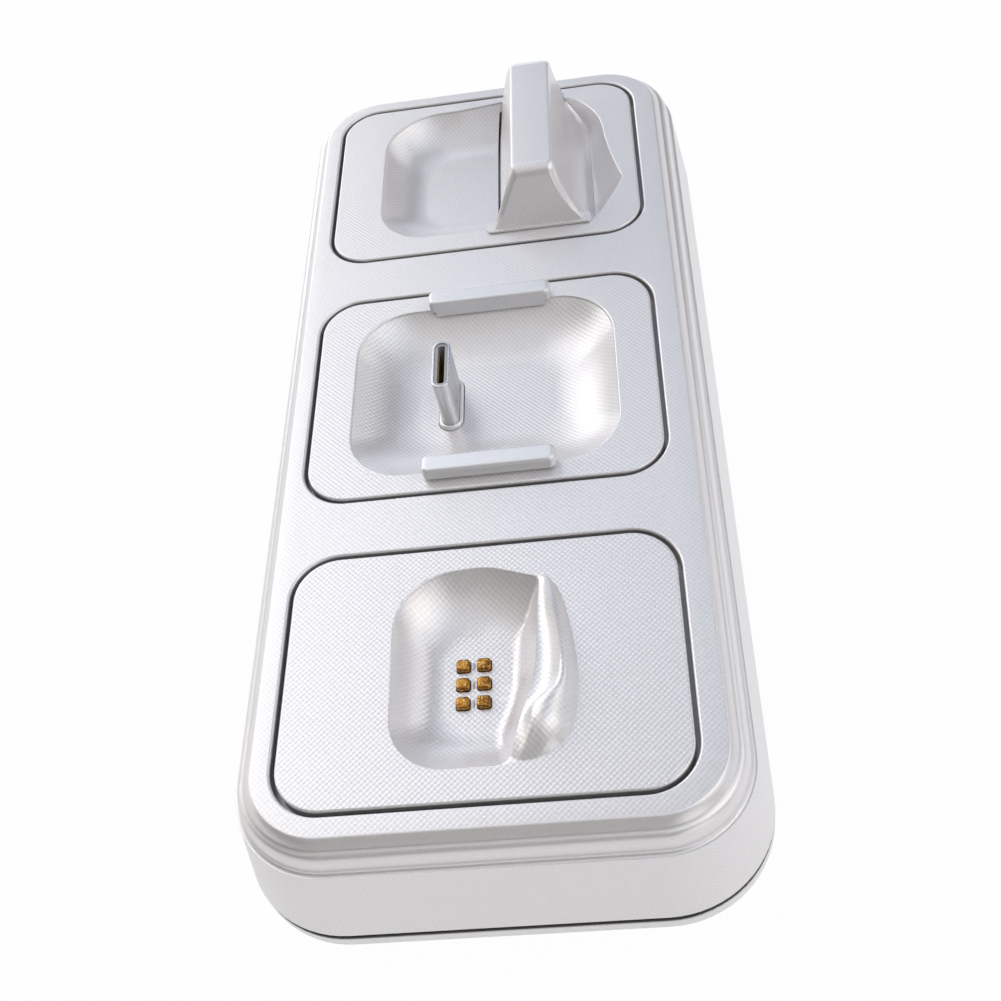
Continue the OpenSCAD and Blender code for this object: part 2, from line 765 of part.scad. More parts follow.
module plug_core() {
  color([0.12, 0.12, 0.13])
    in_bay(middle_y)
      translate([plug_x, 0, 0])
        difference() {
          stadium(core_w, core_l, plug_foot, core_top);
          plate(slot_w, slot_l, slot_r, core_top - slot_d, core_top + past);
        }
}

module plug_contacts() {
  color([0.85, 0.65, 0.25])
    in_bay(middle_y)
      for (side = [-1, 1], i = [0:strip_count - 1])
        translate([
          plug_x + side * (slot_w - strip_t) / 2,
          (i - (strip_count - 1) / 2) * strip_pitch,
          core_top - slot_d + strip_l / 2
        ])
          cube([strip_t, strip_w, strip_l], center = true);
}

module plug_board() {
  color([0.1, 0.35, 0.2])
    in_bay(middle_y)
      translate([plug_x, 0, 0])
        difference() {
          plate(plug_board_w, plug_board_l, board_r, plug_foot - board_t, plug_foot);
          for (side = [-1, 1])
            translate([0, side * plug_screw_y, plug_foot - board_t - past])
              cylinder(r = small_screw_r + small_room, h = board_t + 2 * past);
        }
}

function peg_places(side) = [for (sx = [-1, 1]) [bar_x + sx * peg_x, side * (rear_bay_l / 2 - land_y + bar_foot_mid)]];

// Retaining bar on the land beside the pocket: side is 1 at the far end and -1 at the near end
module retainer(side) {
  edge = rear_bay_l / 2 - land_y;
  inner = edge - bar_over;
  color([0.88, 0.88, 0.9])
    in_bay(middle_y) {
      rotate([0, 0, side > 0 ? 0 : 180])
        translate([side * bar_x, 0, 0]) {
          translate([0, inner + bar_w / 2, 0])
            slab(bar_l, bar_w, bar_r, concat([[bar_cut, bar_lift], [0, bar_lift + bar_cut]], quarter_round(0, bar_h, bar_round)));
          rotate([90, 0, 90])
            linear_extrude(bar_l - 2 * bar_r, center = true)
              polygon([
                [inner, bar_lift + bite], [inner, bar_cut - bar_drop], [inner + bar_cut, -bar_drop],
                [inner + 2 * bar_cut, -bar_drop], [edge, bar_lift], [edge, bar_lift + bite]
              ]);
          translate([0, edge + bar_foot_mid, 0]) plate(bar_l - 2 * bar_foot_in, bar_foot_w, bar_cut, 0, bar_lift + bite);
        }
      at_each(peg_places(side)) translate([0, 0, -tray_t + peg_short]) cylinder(r = peg_r, h = tray_t);
    }
}

module far_retainer() retainer(1);

module near_retainer() retainer(-1);

// How far the rounded edge of the ridge draws a flank in at the height z
function ridge_edge(z) =
  ridge_edge_w * (1 - sqrt(max(0, 1 - (max(0, z - saddle_h + ridge_edge_h) / ridge_edge_h) ^ 2)));

// Left and right flank of the saddle at the height z, without their flare
function left_flank(z) =
  let (edge = ridge_left - ridge_edge_w, top = saddle_h - ridge_edge_h)
  edge - (edge - saddle_left) * (max(0, top - z) / (top + pocket_d)) ^ 0.85 + ridge_edge(z);

function right_flank(z) =
  ridge_right + ridge_edge_w + along(FLANK, z / (saddle_h - ridge_edge_h)) - ridge_edge(z);

// Outward flare of the flanks towards the near end
function flare(y) = max(0, 1 - max(0, y - saddle_near) / flare_l) ^ 2;

function right_foot(y) = right_flank(0) + flare_right * flare(y);

// Depth of the scoop at place y, and where its lowest line runs
function scoop_deep(y) =
  max(0.05, pocket_d * (1 - (max(0, abs(y) - scoop_flat) / (scoop_l - scoop_flat)) ^ 2));

function scoop_low(y) = max(right_foot(y) + 0.15, min(scoop_x, along(SCOOP_RIM, y) - scoop_wall));

// Right side of the saddle: it sweeps out to the scoop's lowest line below the flat top
function right_side(y, z) =
  z > 0
    ? right_flank(z) + flare_right * flare(y) * (1 - z / saddle_h) ^ 1.1
    : scoop_low(y) - (scoop_low(y) - right_foot(y)) * sqrt(1 - min(1, -z / scoop_deep(y)) ^ 1.5);

function left_side(y, z) =
  left_flank(max(z, -pocket_d)) - flare_left * flare(y) * (1 - max(0, z) / saddle_h) ^ 1.5;

// One point of the saddle's skin, on its left or right side, with a clearance
function saddle_point(side, y, z, gap) =
  [side < 0 ? left_side(y, z) - gap : right_side(y, z) + min(gap, flank_gap), y, z];

function flipped(list) = [for (i = [len(list) - 1:-1:0]) list[i]];

// One side of the section at place y, from the bottom of the neck up through the heights zs
function half_section(side, y, zs, gap) = concat(
  [[saddle_point(side, y, -pocket_d, gap)[0], y, neck_z]],
  [for (s = SHARES) saddle_point(side, y, -s * (side < 0 ? pocket_d : scoop_deep(y)), gap)],
  [for (z = zs) saddle_point(side, y, z, gap)]
);

function section(y, zs, gap) = concat(half_section(-1, y, zs, gap), flipped(half_section(1, y, zs, gap)));

// Ring round an end of the saddle: at turn 0 it bounds the leaning end face, at 90 its edge is
// fully rounded, and from there share moves it on to the full section
function end_ring(end, turn, share) =
  let (
    face = end < 0 ? saddle_near : saddle_far, full = end < 0 ? full_near : full_far,
    last = 2 * len(HEIGHTS) - 1, drawn = 1 - ridge_round * (1 - sin(turn)) / saddle_h
  )
  [
    for (i = [0:last])
      let (
        side = i < len(HEIGHTS) ? -1 : 1, h = HEIGHTS[min(i, last - i)],
        z = foot_gap + (h - foot_gap) * drawn, high = (h / saddle_h) ^ 6,
        depth = side_edge * turn / 90 * (1 - high) + ridge_round * (1 - cos(turn)) * high,
        edge_y = face - end * (saddle_lean * z / saddle_h + depth), y = edge_y + (full - edge_y) * share
      )
      [saddle_point(side, y, h, -side_edge * (1 - turn / 90))[0], y, z]
  ];

module saddle_body() {
  turns = [0:22.5:90];
  moves = [0.35, 0.7, 1];
  loft([for (y = STATIONS) if (y >= full_near && y <= full_far) section(y, HEIGHTS, 0)]);
  loft([for (t = turns) end_ring(-1, t, 0), for (m = moves) end_ring(-1, 90, m)]);
  loft([for (m = flipped(moves)) end_ring(1, 90, m), for (t = turns) end_ring(1, 90 - t, 0)]);
  neck_end([for (y = STATIONS) if (y <= full_near) y]);
  neck_end([for (y = STATIONS) if (y >= full_far) y]);
  near = saddle_near - ledge_out;
  far = near + ledge_l;
  left = left_side(saddle_near, foot_gap) - ledge_out;
  right = right_side(saddle_near, foot_gap) + ledge_out;
  translate([0, 0, foot_gap])
    linear_extrude(ledge_h)
      polygon([
        [left, near + ledge_out], [left + ledge_out, near], [right - ledge_out, near],
        [right, near + ledge_out], [right, far - ledge_out], [right - ledge_out, far],
        [left + ledge_out, far], [left, far - ledge_out]
      ]);
}

// End of the neck under a foot
module neck_end(ys) loft([for (y = ys) section(y, [0, foot_gap + ledge_h / 2], -neck_inset)]);

module rear_saddle() {
  color([0.89, 0.89, 0.91])
    in_bay(rear_y)
      difference() {
        union() {
          difference() {
            saddle_body();
            saddle_hollow();
          }
          for (y = SADDLE_SCREWS)
            translate([saddle_screw_x, y, neck_z])
              cylinder(r = saddle_post_r, h = saddle_h - neck_z - saddle_wall);
        }
        for (y = SADDLE_SCREWS)
          translate([saddle_screw_x, y, neck_z - eps])
            cylinder(r = small_screw_r + screw_gap, h = saddle_screw_l - well_t + bite);
      }
}

// Space inside the moulded saddle, open at the bottom
module saddle_hollow() {
  zs = [neck_z - past, -0.8 * pocket_d, 0, 0.3 * saddle_h, 0.6 * saddle_h, saddle_h - saddle_wall];
  near = full_near + bite;
  far = full_far - bite;
  translate([0, far, 0])
    rotate([90, 0, 0])
      linear_extrude(far - near)
        polygon(concat(
          [for (z = zs) [left_side(0, z) + saddle_wall, z]],
          flipped([for (z = zs) [right_side(0, z) - saddle_wall, z]])
        ));
}

// Well of the tray round the saddle's neck, carried up past the flat top
module saddle_well() {
  loft([for (y = concat([neck_near - saddle_seam], STATIONS, [neck_far + saddle_seam])) well_ring(y)]);
}

function well_ring(y) =
  let (left = half_section(-1, y, [0], saddle_seam), right = half_section(1, y, [0], saddle_seam))
  concat(left, [left[len(SHARES) + 1] + [0, 0, past], right[len(SHARES) + 1] + [0, 0, past]], flipped(right));

// Trough beside the saddle, whose right rim follows SCOOP_RIM
module scoop_cut() loft([for (y = concat([saddle_near, -14.6, -14.2], STATIONS)) scoop_ring(y)]);

function scoop_ring(y) =
  let (
    deep = scoop_deep(y), low = scoop_low(y), right = max(along(SCOOP_RIM, y), low + 0.15),
    back = y < neck_near ? 0.03 : 0.5, rim = min(rim_r, 0.6 * deep)
  )
  concat(
    [for (s = SHARES) [right_side(y, -s * deep) - back, y, -s * deep]],
    [for (z = [0, past]) [right_foot(y) - back, y, z]],
    [[right + rim, y, past], [right + rim, y, 0], [right + 0.35 * rim, y, -0.3 * rim]],
    [for (t = [0:0.125:0.9]) [right - (right - low) * t, y, -rim - (deep - rim) * (1 - (1 - t) ^ 2)]],
    [[low + 0.03, y, -deep]]
  );

module rear_tray() {
  near = neck_near - saddle_seam - well_t;
  far = rear_bay_l / 2 - ledge_w - lip_gap;
  left = saddle_left - flare_left - 0.8;
  right = scoop_x + well_t;
  shell_right = bay_w / 2 - ledge_w - lip_gap - hook_t - fit_gap;
  corner = bay_r - ledge_w - lip_gap;
  color([0.91, 0.91, 0.93])
    in_bay(rear_y)
      difference() {
        union() {
          tray_plate(rear_bay_l);
          pocket_shell(rear_rim, rear_floor);
          translate([(left + right) / 2, (near + far) / 2, 0])
            plate(right - left, far - near, corner, neck_z - well_t, -tray_t + bite);
          translate([(left + shell_right) / 2, (near + far) / 2, 0])
            plate(shell_right - left, far - near, corner, -pocket_d - scoop_t, -tray_t + bite);
        }
        pocket_cut(rear_rim, rear_floor, past);
        scoop_cut();
        saddle_well();
        for (y = SADDLE_SCREWS)
          translate([saddle_screw_x, y, neck_z - well_t - past])
            cylinder(r = small_screw_r + small_room, h = well_t + 2 * past);
      }
}

module contact_carrier() {
  color([0.15, 0.15, 0.16])
    in_bay(front_y)
      difference() {
        translate([contact_x, contact_y, 0])
          plate(
            contact_pitch + 2 * (barrel_r + carrier_wall), 2 * (contact_pitch + barrel_r + carrier_wall), 0.6,
            carrier_top - carrier_h, carrier_top
          );
        at_each(CONTACTS)
          translate([0, 0, carrier_top - carrier_h - 1]) cylinder(r = barrel_r + screw_gap, h = carrier_h + 2);
      }
}

module contact_barrels() {
  color([0.8, 0.68, 0.4])
    in_bay(front_y)
      at_each(CONTACTS)
        difference() {
          translate([0, 0, barrel_bottom]) cylinder(r = barrel_r, h = barrel_top - barrel_bottom);
          translate([0, 0, spring_bottom]) cylinder(r = flange_r + pin_gap, h = barrel_top - barrel_lid - spring_bottom);
          translate([0, 0, spring_bottom]) cylinder(r = stem_r + pin_gap, h = barrel_top - spring_bottom + 1);
        }
}

module contact_pin(i) {
  color([0.85, 0.62, 0.2])
    in_bay(front_y)
      translate([CONTACTS[i - 1][0], CONTACTS[i - 1][1], 0]) {
        slab(contact_head, head_l, head_r, concat([[0, head_z - head_h]], quarter_round(0, head_z, head_round)));
        translate([0, 0, flange_top - eps]) cylinder(r = stem_r, h = head_z - head_h - flange_top + 2 * eps);
        translate([0, 0, spring_top]) cylinder(r = flange_r, h = flange_h);
      }
}

// Coil spring that stands on the barrel's floor and holds the flange up
module contact_spring(i) {
  r = flange_r - wire_r - pin_gap;
  low = spring_bottom + wire_r;
  high = spring_top - wire_r;
  steps = 9 * spring_turns;
  color([0.7, 0.7, 0.72])
    in_bay(front_y)
      translate([CONTACTS[i - 1][0], CONTACTS[i - 1][1], 0])
        loft([
          for (k = [0:steps])
            let (a = 360 * spring_turns * k / steps, z = low + (high - low) * k / steps)
            [for (b = [0:72:288]) [(r + wire_r * sin(b)) * cos(a), (r + wire_r * sin(b)) * sin(a), z + wire_r * cos(b)]]
        ]);
}

module contact_board() {
  color([0.1, 0.35, 0.2])
    in_bay(front_y)
      translate([contact_x, contact_y, 0])
        difference() {
          plate(contact_board_w, contact_board_l, board_r, barrel_bottom - board_t, barrel_bottom);
          for (side = [-1, 1])
            translate([side * contact_screw_x, 0, barrel_bottom - board_t - past])
              cylinder(r = small_screw_r + small_room, h = board_t + 2 * past);
        }
}

module charge_coil() {
  color([0.75, 0.42, 0.22])
    in_bay(rear_y)
      translate([coil_x, 0, coil_z])
        difference() {
          cylinder(r = coil_r, h = coil_t);
          translate([0, 0, -1]) cylinder(r = coil_hole_r, h = coil_t + 2);
        }
}

module coil_shield() {
  color([0.25, 0.25, 0.27])
    in_bay(rear_y) translate([coil_x, 0, coil_z - shield_t]) cylinder(r = shield_r, h = shield_t);
}

module main_board() {
  color([0.1, 0.35, 0.2])
    on_top()
      difference() {
        translate([0, (main_near + main_far) / 2, 0]) plate(main_w, main_far - main_near, 2 * board_r, main_z - main_t, main_z);
        at_each(STANDOFFS)
          translate([0, 0, main_z - main_t - past]) cylinder(r = board_screw_r + screw_room, h = main_t + 2 * past);
      }
}

// Sleeve and tongue of the power inlet in the rear wall
inlet_mouth = body_l / 2 - inlet_in;

module inlet_shell() {
  color([0.72, 0.72, 0.75])
    on_top()
      translate([0, inlet_mouth, inlet_z])
        rotate([90, 0, 0])
          difference() {
            plate(inlet_w, inlet_h, inlet_h / 2 - eps, 0, inlet_l);
            plate(inlet_w - 2 * inlet_sheet, inlet_h - 2 * inlet_sheet, inlet_h / 2 - inlet_sheet - eps, -past, inlet_l - inlet_back);
          }
}

module inlet_tongue() {
  color([0.12, 0.12, 0.13])
    on_top() translate([0, inlet_mouth, inlet_z]) rotate([90, 0, 0])
      plate(tongue_w, tongue_t, tongue_t / 3, tongue_in, inlet_l - inlet_back);
}

// Chips as [x, y, width, length], the inductor and the rows of capacitors on the main board
CHIPS = [[-9, 4, 5, 5], [8, 20, 4, 4], [-2, 38, 5, 4]];
chip_h = 0.9;
inductor_at = [8, 8, main_z];
inductor_w = 6;
inductor_h = 2.8;
inductor_flange = 0.5;
inductor_r = 2.6;
CAPACITORS = [for (x = [-14, 14], y = [-6, 0, 12, 30]) [x, y]];
capacitor = [2, 1.2, 0.9];

module power_chips() {
  color([0.13, 0.13, 0.14])
    on_top()
      for (c = CHIPS) translate([c[0] - c[2] / 2, c[1] - c[3] / 2, main_z]) cube([c[2], c[3], chip_h]);
}

module inductor() {
  color([0.3, 0.3, 0.32])
    on_top() translate(inductor_at) {
      for (z = [0, inductor_h - inductor_flange])
        plate(inductor_w, inductor_w, board_r, z, z + inductor_flange);
      cylinder(r = inductor_r, h = inductor_h - eps);
    }
}

module capacitors() {
  color([0.65, 0.55, 0.4])
    on_top() at_each(CAPACITORS) translate([-capacitor[0] / 2, -capacitor[1] / 2, main_z]) cube(capacitor);
}

// Sockets of the three leads on the main board
socket_top = main_z + socket_h;
contact_socket_y = main_near + 1 + socket_l / 2;
plug_socket_y = middle_y - 2;
coil_socket_y = rear_y - 20;

module lead_sockets() {
  color([0.85, 0.83, 0.78])
    in_bay()
      at_each([[contact_x, contact_socket_y], [plug_x, plug_socket_y], [coil_x, coil_socket_y]])
        translate([-socket_w / 2, -socket_l / 2, main_z]) cube([socket_w, socket_l, socket_h]);
}

// Flat lead bent as a step from the level z0 at y0 down to the level z1 at y1
module flat_lead(x, y0, z0, y1, z1) {
  half = (y0 + y1) / 2;
  translate([x, 0, 0])
    rotate([90, 0, 90])
      linear_extrude(lead_w, center = true)
        polygon([
          [y0, z0], [half - lead_step, z0], [half + lead_step, z1 + lead_t], [y1, z1 + lead_t],
          [y1, z1], [half + lead_step - lead_t, z1], [half - lead_step - lead_t, z0 - lead_t], [y0, z0 - lead_t]
        ]);
}

module contact_lead() {
  color([0.8, 0.55, 0.25])
    in_bay()
      flat_lead(contact_x, front_y + contact_y + 2, barrel_bottom - board_t, contact_socket_y, socket_top);
}

module plug_lead() {
  color([0.8, 0.55, 0.25])
    in_bay() flat_lead(plug_x, middle_y - plug_screw_y + small_head_r + 0.3, plug_foot - board_t, plug_socket_y, socket_top);
}

module coil_lead() {
  color([0.75, 0.42, 0.22])
    in_bay()
      translate([coil_x, 2 * coil_socket_y, 0]) mirror([0, 1, 0])
        translate([-coil_x, 0, 0])
          flat_lead(coil_x, 2 * coil_socket_y - rear_y + 4, coil_z - shield_t, coil_socket_y, socket_top);
}

// Screw with a flat head below the level z and its shank above
module screw(r, l, head_r, head_h) {
  translate([0, 0, -head_h]) cylinder(r = head_r, h = head_h);
  cylinder(r = r, h = l);
}

module base_screws() {
  color([0.6, 0.6, 0.62])
    on_top()
      at_each(POSTS)
        translate([0, 0, base_z + screw_head_h]) screw(screw_r, screw_l + floor_t - screw_head_h - screw_room, screw_head_r, screw_head_h - screw_room);
}

module board_screws() {
  color([0.6, 0.6, 0.62])
    on_top()
      at_each(STANDOFFS)
        translate([0, 0, main_z]) rotate([180, 0, 0]) screw(board_screw_r, main_t + board_screw_bite, board_head_r, board_head_h);
}

module tray_screws() {
  color([0.6, 0.6, 0.62])
    in_bay() {
      for (side = [-1, 1])
        translate([contact_x + side * contact_screw_x, front_y + contact_y, barrel_bottom - board_t]) small_screw(contact_screw_l);
      for (side = [-1, 1]) translate([plug_x, middle_y + side * plug_screw_y, plug_foot - board_t]) small_screw(plug_screw_l);
      for (y = SADDLE_SCREWS) translate([saddle_screw_x, rear_y + y, neck_z - well_t]) small_screw(saddle_screw_l);
    }
}

module small_screw(l) screw(small_screw_r, l, small_head_r, small_head_h);

upper_housing();
base_plate();
front_tray();
middle_tray();
rear_tray();
rear_saddle();
far_retainer();
near_retainer();
plug_boot();
plug_shell();
plug_core();
plug_contacts();
plug_board();
contact_carrier();
contact_barrels();
contact_pin(1);  // contact_pin_1
contact_pin(2);  // contact_pin_2
contact_pin(3);  // contact_pin_3
contact_pin(4);  // contact_pin_4
contact_pin(5);  // contact_pin_5
contact_pin(6);  // contact_pin_6
contact_spring(1);  // contact_spring_1
contact_spring(2);  // contact_spring_2
contact_spring(3);  // contact_spring_3
contact_spring(4);  // contact_spring_4
contact_spring(5);  // contact_spring_5
contact_spring(6);  // contact_spring_6
contact_board();
charge_coil();
coil_shield();
main_board();
inlet_shell();
inlet_tongue();
power_chips();
inductor();
capacitors();
lead_sockets();
contact_lead();
plug_lead();
coil_lead();
base_screws();
board_screws();
tray_screws();
rubber_feet();
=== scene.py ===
"""Looks of the desk charging dock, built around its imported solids."""

from __future__ import annotations

import json
import logging
import math
from dataclasses import dataclass
from enum import Enum
from typing import Any, Optional, Union

import bpy
from mathutils import Matrix, Vector

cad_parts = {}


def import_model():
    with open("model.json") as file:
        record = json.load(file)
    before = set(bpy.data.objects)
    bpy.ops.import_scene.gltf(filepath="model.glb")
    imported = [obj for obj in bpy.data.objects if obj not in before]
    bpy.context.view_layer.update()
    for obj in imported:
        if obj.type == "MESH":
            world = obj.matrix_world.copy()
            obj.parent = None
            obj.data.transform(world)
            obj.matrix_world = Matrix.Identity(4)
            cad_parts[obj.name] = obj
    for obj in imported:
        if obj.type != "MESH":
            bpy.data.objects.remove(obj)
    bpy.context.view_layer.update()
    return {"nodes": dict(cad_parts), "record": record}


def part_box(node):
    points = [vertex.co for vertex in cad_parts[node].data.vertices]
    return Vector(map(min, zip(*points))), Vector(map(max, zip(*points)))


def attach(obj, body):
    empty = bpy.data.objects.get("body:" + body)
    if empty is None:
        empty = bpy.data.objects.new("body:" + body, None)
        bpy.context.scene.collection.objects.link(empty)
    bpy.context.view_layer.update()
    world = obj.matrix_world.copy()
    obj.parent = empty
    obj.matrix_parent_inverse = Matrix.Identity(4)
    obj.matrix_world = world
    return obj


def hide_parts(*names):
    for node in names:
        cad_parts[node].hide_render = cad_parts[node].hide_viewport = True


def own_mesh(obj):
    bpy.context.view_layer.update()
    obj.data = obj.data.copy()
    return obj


LOG = logging.getLogger("dock")
MM = 0.001
Triple = tuple[float, float, float]
Colour = Triple
Span = tuple[float, float]
Number = Union["Field", float, int]
WHITE: Colour = (1.0, 1.0, 1.0)
EVEN: Triple = (1.0, 1.0, 1.0)


class Body(Enum):
    """Bodies that pieces ride on; a contact's body adds its number."""

    DOCK = "dock"
    CONTACT = "contact_"


@dataclass(frozen=True)
class Levels:
    """Places on the dock in metres: heights above the desk, and the bays' outline in plan.

    Attributes:
        smooth_top: Upper end of the housing's band without grain, just under the flat top.
        rim_lit: Height above which the wall of a gap has no painted shade.
        rim_shaded: Height below which that wall is fully darkened by painted shade.
        crease_top: Upper end of the painted shade in the crease round the housing.
        crease_foot: Lower end of that painted shade.
        pocket_floor: Floor of the front pocket.
        smooth_foot: Lower end of the housing's band without grain, under the shoulder.
        parting_top: Upper end of the painted shade at the parting line.
        parting_foot: Lower end of that painted shade.
        bays_x: Middle of the three bays across the dock.
        bays_y: Middle of the three bays along the dock.
        bays_half_w: Half of their width.
        bays_half_l: Half of the length that they take up together.
        bays_corner: How much of both halves together a rounded corner takes off.
    """

    smooth_top: float = 20.27 * MM
    rim_lit: float = 20.07 * MM
    rim_shaded: float = 19.9 * MM
    crease_top: float = 19.2 * MM
    crease_foot: float = 19.08 * MM
    pocket_floor: float = 16.3 * MM
    smooth_foot: float = 15.55 * MM
    parting_top: float = 4.7 * MM
    parting_foot: float = 3.2 * MM
    bays_x: float = -0.4 * MM
    bays_y: float = 0.25 * MM
    bays_half_w: float = 24.2 * MM
    bays_half_l: float = 62.4 * MM
    bays_corner: float = 2.5 * MM


LEVELS = Levels()


class Field:
    """A shader value that can be used in a Python expression."""

    def __init__(self, tree: "ShaderTree", socket: bpy.types.NodeSocket) -> None:
        """Keeps the output socket of a node.

        Args:
            tree: The tree that the node is in.
            socket: The output that holds the value.
        """
        self.tree = tree
        self.socket = socket

    def _math(self, operation: str, *values: Number) -> "Field":
        """Adds a Math node.

        Args:
            operation: Name of the node's operation.
            values: Operands in the order of the node's sockets.

        Returns:
            The node's result.
        """
        return self.tree.node("ShaderNodeMath", {"operation": operation}, dict(enumerate(values)))

    def __add__(self, other: Number) -> "Field":
        """Returns the sum."""
        return self._math("ADD", self, other)

    def __radd__(self, other: Number) -> "Field":
        """Returns the sum."""
        return self._math("ADD", other, self)

    def __sub__(self, other: Number) -> "Field":
        """Returns the difference."""
        return self._math("SUBTRACT", self, other)

    def __rsub__(self, other: Number) -> "Field":
        """Returns the reflected difference."""
        return self._math("SUBTRACT", other, self)

    def __mul__(self, other: Number) -> "Field":
        """Returns the product."""
        return self._math("MULTIPLY", self, other)

    def __rmul__(self, other: Number) -> "Field":
        """Returns the product."""
        return self._math("MULTIPLY", other, self)

    def sine(self) -> "Field":
        """Returns the sine of the value in radians."""
        return self._math("SINE", self)

    def size(self) -> "Field":
        """Returns the absolute value."""
        return self._math("ABSOLUTE", self)

    def at_least(self, other: Number) -> "Field":
        """Returns the larger of the two values."""
        return self._math("MAXIMUM", self, other)

    def ramp(self, low: float, high: float) -> "Field":
        """Maps a span smoothly to 0..1, upwards or downwards.

        Args:
            low: Value that becomes 0.
            high: Value that becomes 1.

        Returns:
            The clamped smooth step.
        """
        settings = {"interpolation_type": "SMOOTHSTEP", "clamp": True}
        inputs = {
            "Value": self,
            "From Min": min(low, high),
            "From Max": max(low, high),
            "To Min": float(low > high),
            "To Max": float(low < high),
        }
        return self.tree.node("ShaderNodeMapRange", settings, inputs)

    def between(self, low: float, high: float, soft: float) -> "Field":
        """Returns 1 inside a span and 0 outside it.

        Args:
            low: Lower end of the span.
            high: Upper end of the span.
            soft: Width of the smooth change at each end.

        Returns:
            The soft window.
        """
        return self.ramp(low - soft, low) * self.ramp(high + soft, high)


class ShaderTree:
    """Builds the nodes of one material or world.

    Attributes:
        MIX_FIRST: Number of the Mix node's first colour socket.
        MIX_SECOND: Number of its second colour socket.
        MIX_RESULT: Number of its colour output.
        NOISE_ROUGHNESS: Share of each finer layer of noise.
    """

    MIX_FIRST = 6
    MIX_SECOND = 7
    MIX_RESULT = 2
    NOISE_ROUGHNESS = 0.55

    def __init__(self, tree: bpy.types.NodeTree) -> None:
        """Empties the tree.

        Args:
            tree: Node tree of a material or a world.
        """
        self.tree = tree
        self.tree.nodes.clear()

    def raw(self, kind: str, settings: dict[str, Any], inputs: dict[Any, Any]) -> bpy.types.Node:
        """Adds a node, sets it and feeds its sockets.

        Args:
            kind: Type name of the node.
            settings: Properties that are set before the sockets.
            inputs: Values or fields by socket name or number.

        Returns:
            The node.
        """
        node = self.tree.nodes.new(kind)
        for name, value in settings.items():
            setattr(node, name, value)
        for key, value in inputs.items():
            if isinstance(value, Field):
                self.tree.links.new(value.socket, node.inputs[key])
            elif node.inputs[key].type == "RGBA":
                node.inputs[key].default_value = (*value, 1.0)
            else:
                node.inputs[key].default_value = value
        return node

    def node(
        self, kind: str, settings: dict[str, Any], inputs: dict[Any, Any], output: Union[int, str] = 0
    ) -> Field:
        """Adds a node and returns one of its outputs.

        Args:
            kind: Type name of the node.
            settings: Properties that are set first.
            inputs: Values or fields by socket name or number.
            output: Name or number of the output.

        Returns:
            The output as a field.
        """
        return Field(self, self.raw(kind, settings, inputs).outputs[output])

    def link(self, value: Field, node: bpy.types.Node, name: str) -> None:
        """Links a field to a named socket.

        Args:
            value: Field to link.
            node: Node that takes the value.
            name: Name of its socket.
        """
        self.tree.links.new(value.socket, node.inputs[name])

    def blend(self, factor: Field, first: Union[Field, Colour], second: Colour) -> Field:
        """Mixes two colours.

        Args:
            factor: Share of the second colour.
            first: Colour at factor 0.
            second: Colour at factor 1.

        Returns:
            The mixed colour.
        """
        settings = {"data_type": "RGBA", "clamp_factor": True}
        inputs = {0: factor, self.MIX_FIRST: first, self.MIX_SECOND: second}
        return self.node("ShaderNodeMix", settings, inputs, self.MIX_RESULT)

    def split(self, vector: Field) -> tuple[Field, Field, Field]:
        """Returns the three parts of a vector."""
        x, y, z = self.raw("ShaderNodeSeparateXYZ", {}, {0: vector}).outputs
        return Field(self, x), Field(self, y), Field(self, z)

    def place(self) -> tuple[Field, Field, Field]:
        """Returns the three Object coordinates, in metres."""
        return self.split(self.node("ShaderNodeTexCoord", {}, {}, "Object"))

    def facing(self) -> tuple[Field, Field, Field]:
        """Returns the squared parts of the surface normal, which add up to 1."""
        x, y, z = self.split(self.node("ShaderNodeNewGeometry", {}, {}, "Normal"))
        return x * x, y * y, z * z

    def noise(self, scale: float, detail: float = 2.0, stretch: Triple = EVEN) -> Field:
        """Adds noise on Object coordinates.

        Args:
            scale: Frequency of the noise per metre.
            detail: Number of finer layers.
            stretch: Scale of each axis.

        Returns:
            The noise value around 0.5.
        """
        point = self.node("ShaderNodeTexCoord", {}, {}, "Object")
        inputs = {
            "Vector": self.node("ShaderNodeMapping", {}, {"Vector": point, "Scale": stretch}),
            "Scale": scale,
            "Detail": detail,
            "Roughness": self.NOISE_ROUGHNESS,
        }
        return self.node("ShaderNodeTexNoise", {}, inputs, "Fac")

    def bump(self, height: Field, strength: float, distance: float) -> Field:
        """Turns a height into a normal.

        Args:
            height: Height field, 1 for one distance.
            strength: Share of the effect.
            distance: Height in metres of the value 1.

        Returns:
            The bent normal.
        """
        inputs = {"Height": height, "Strength": strength, "Distance": distance}
        return self.node("ShaderNodeBump", {}, inputs, "Normal")


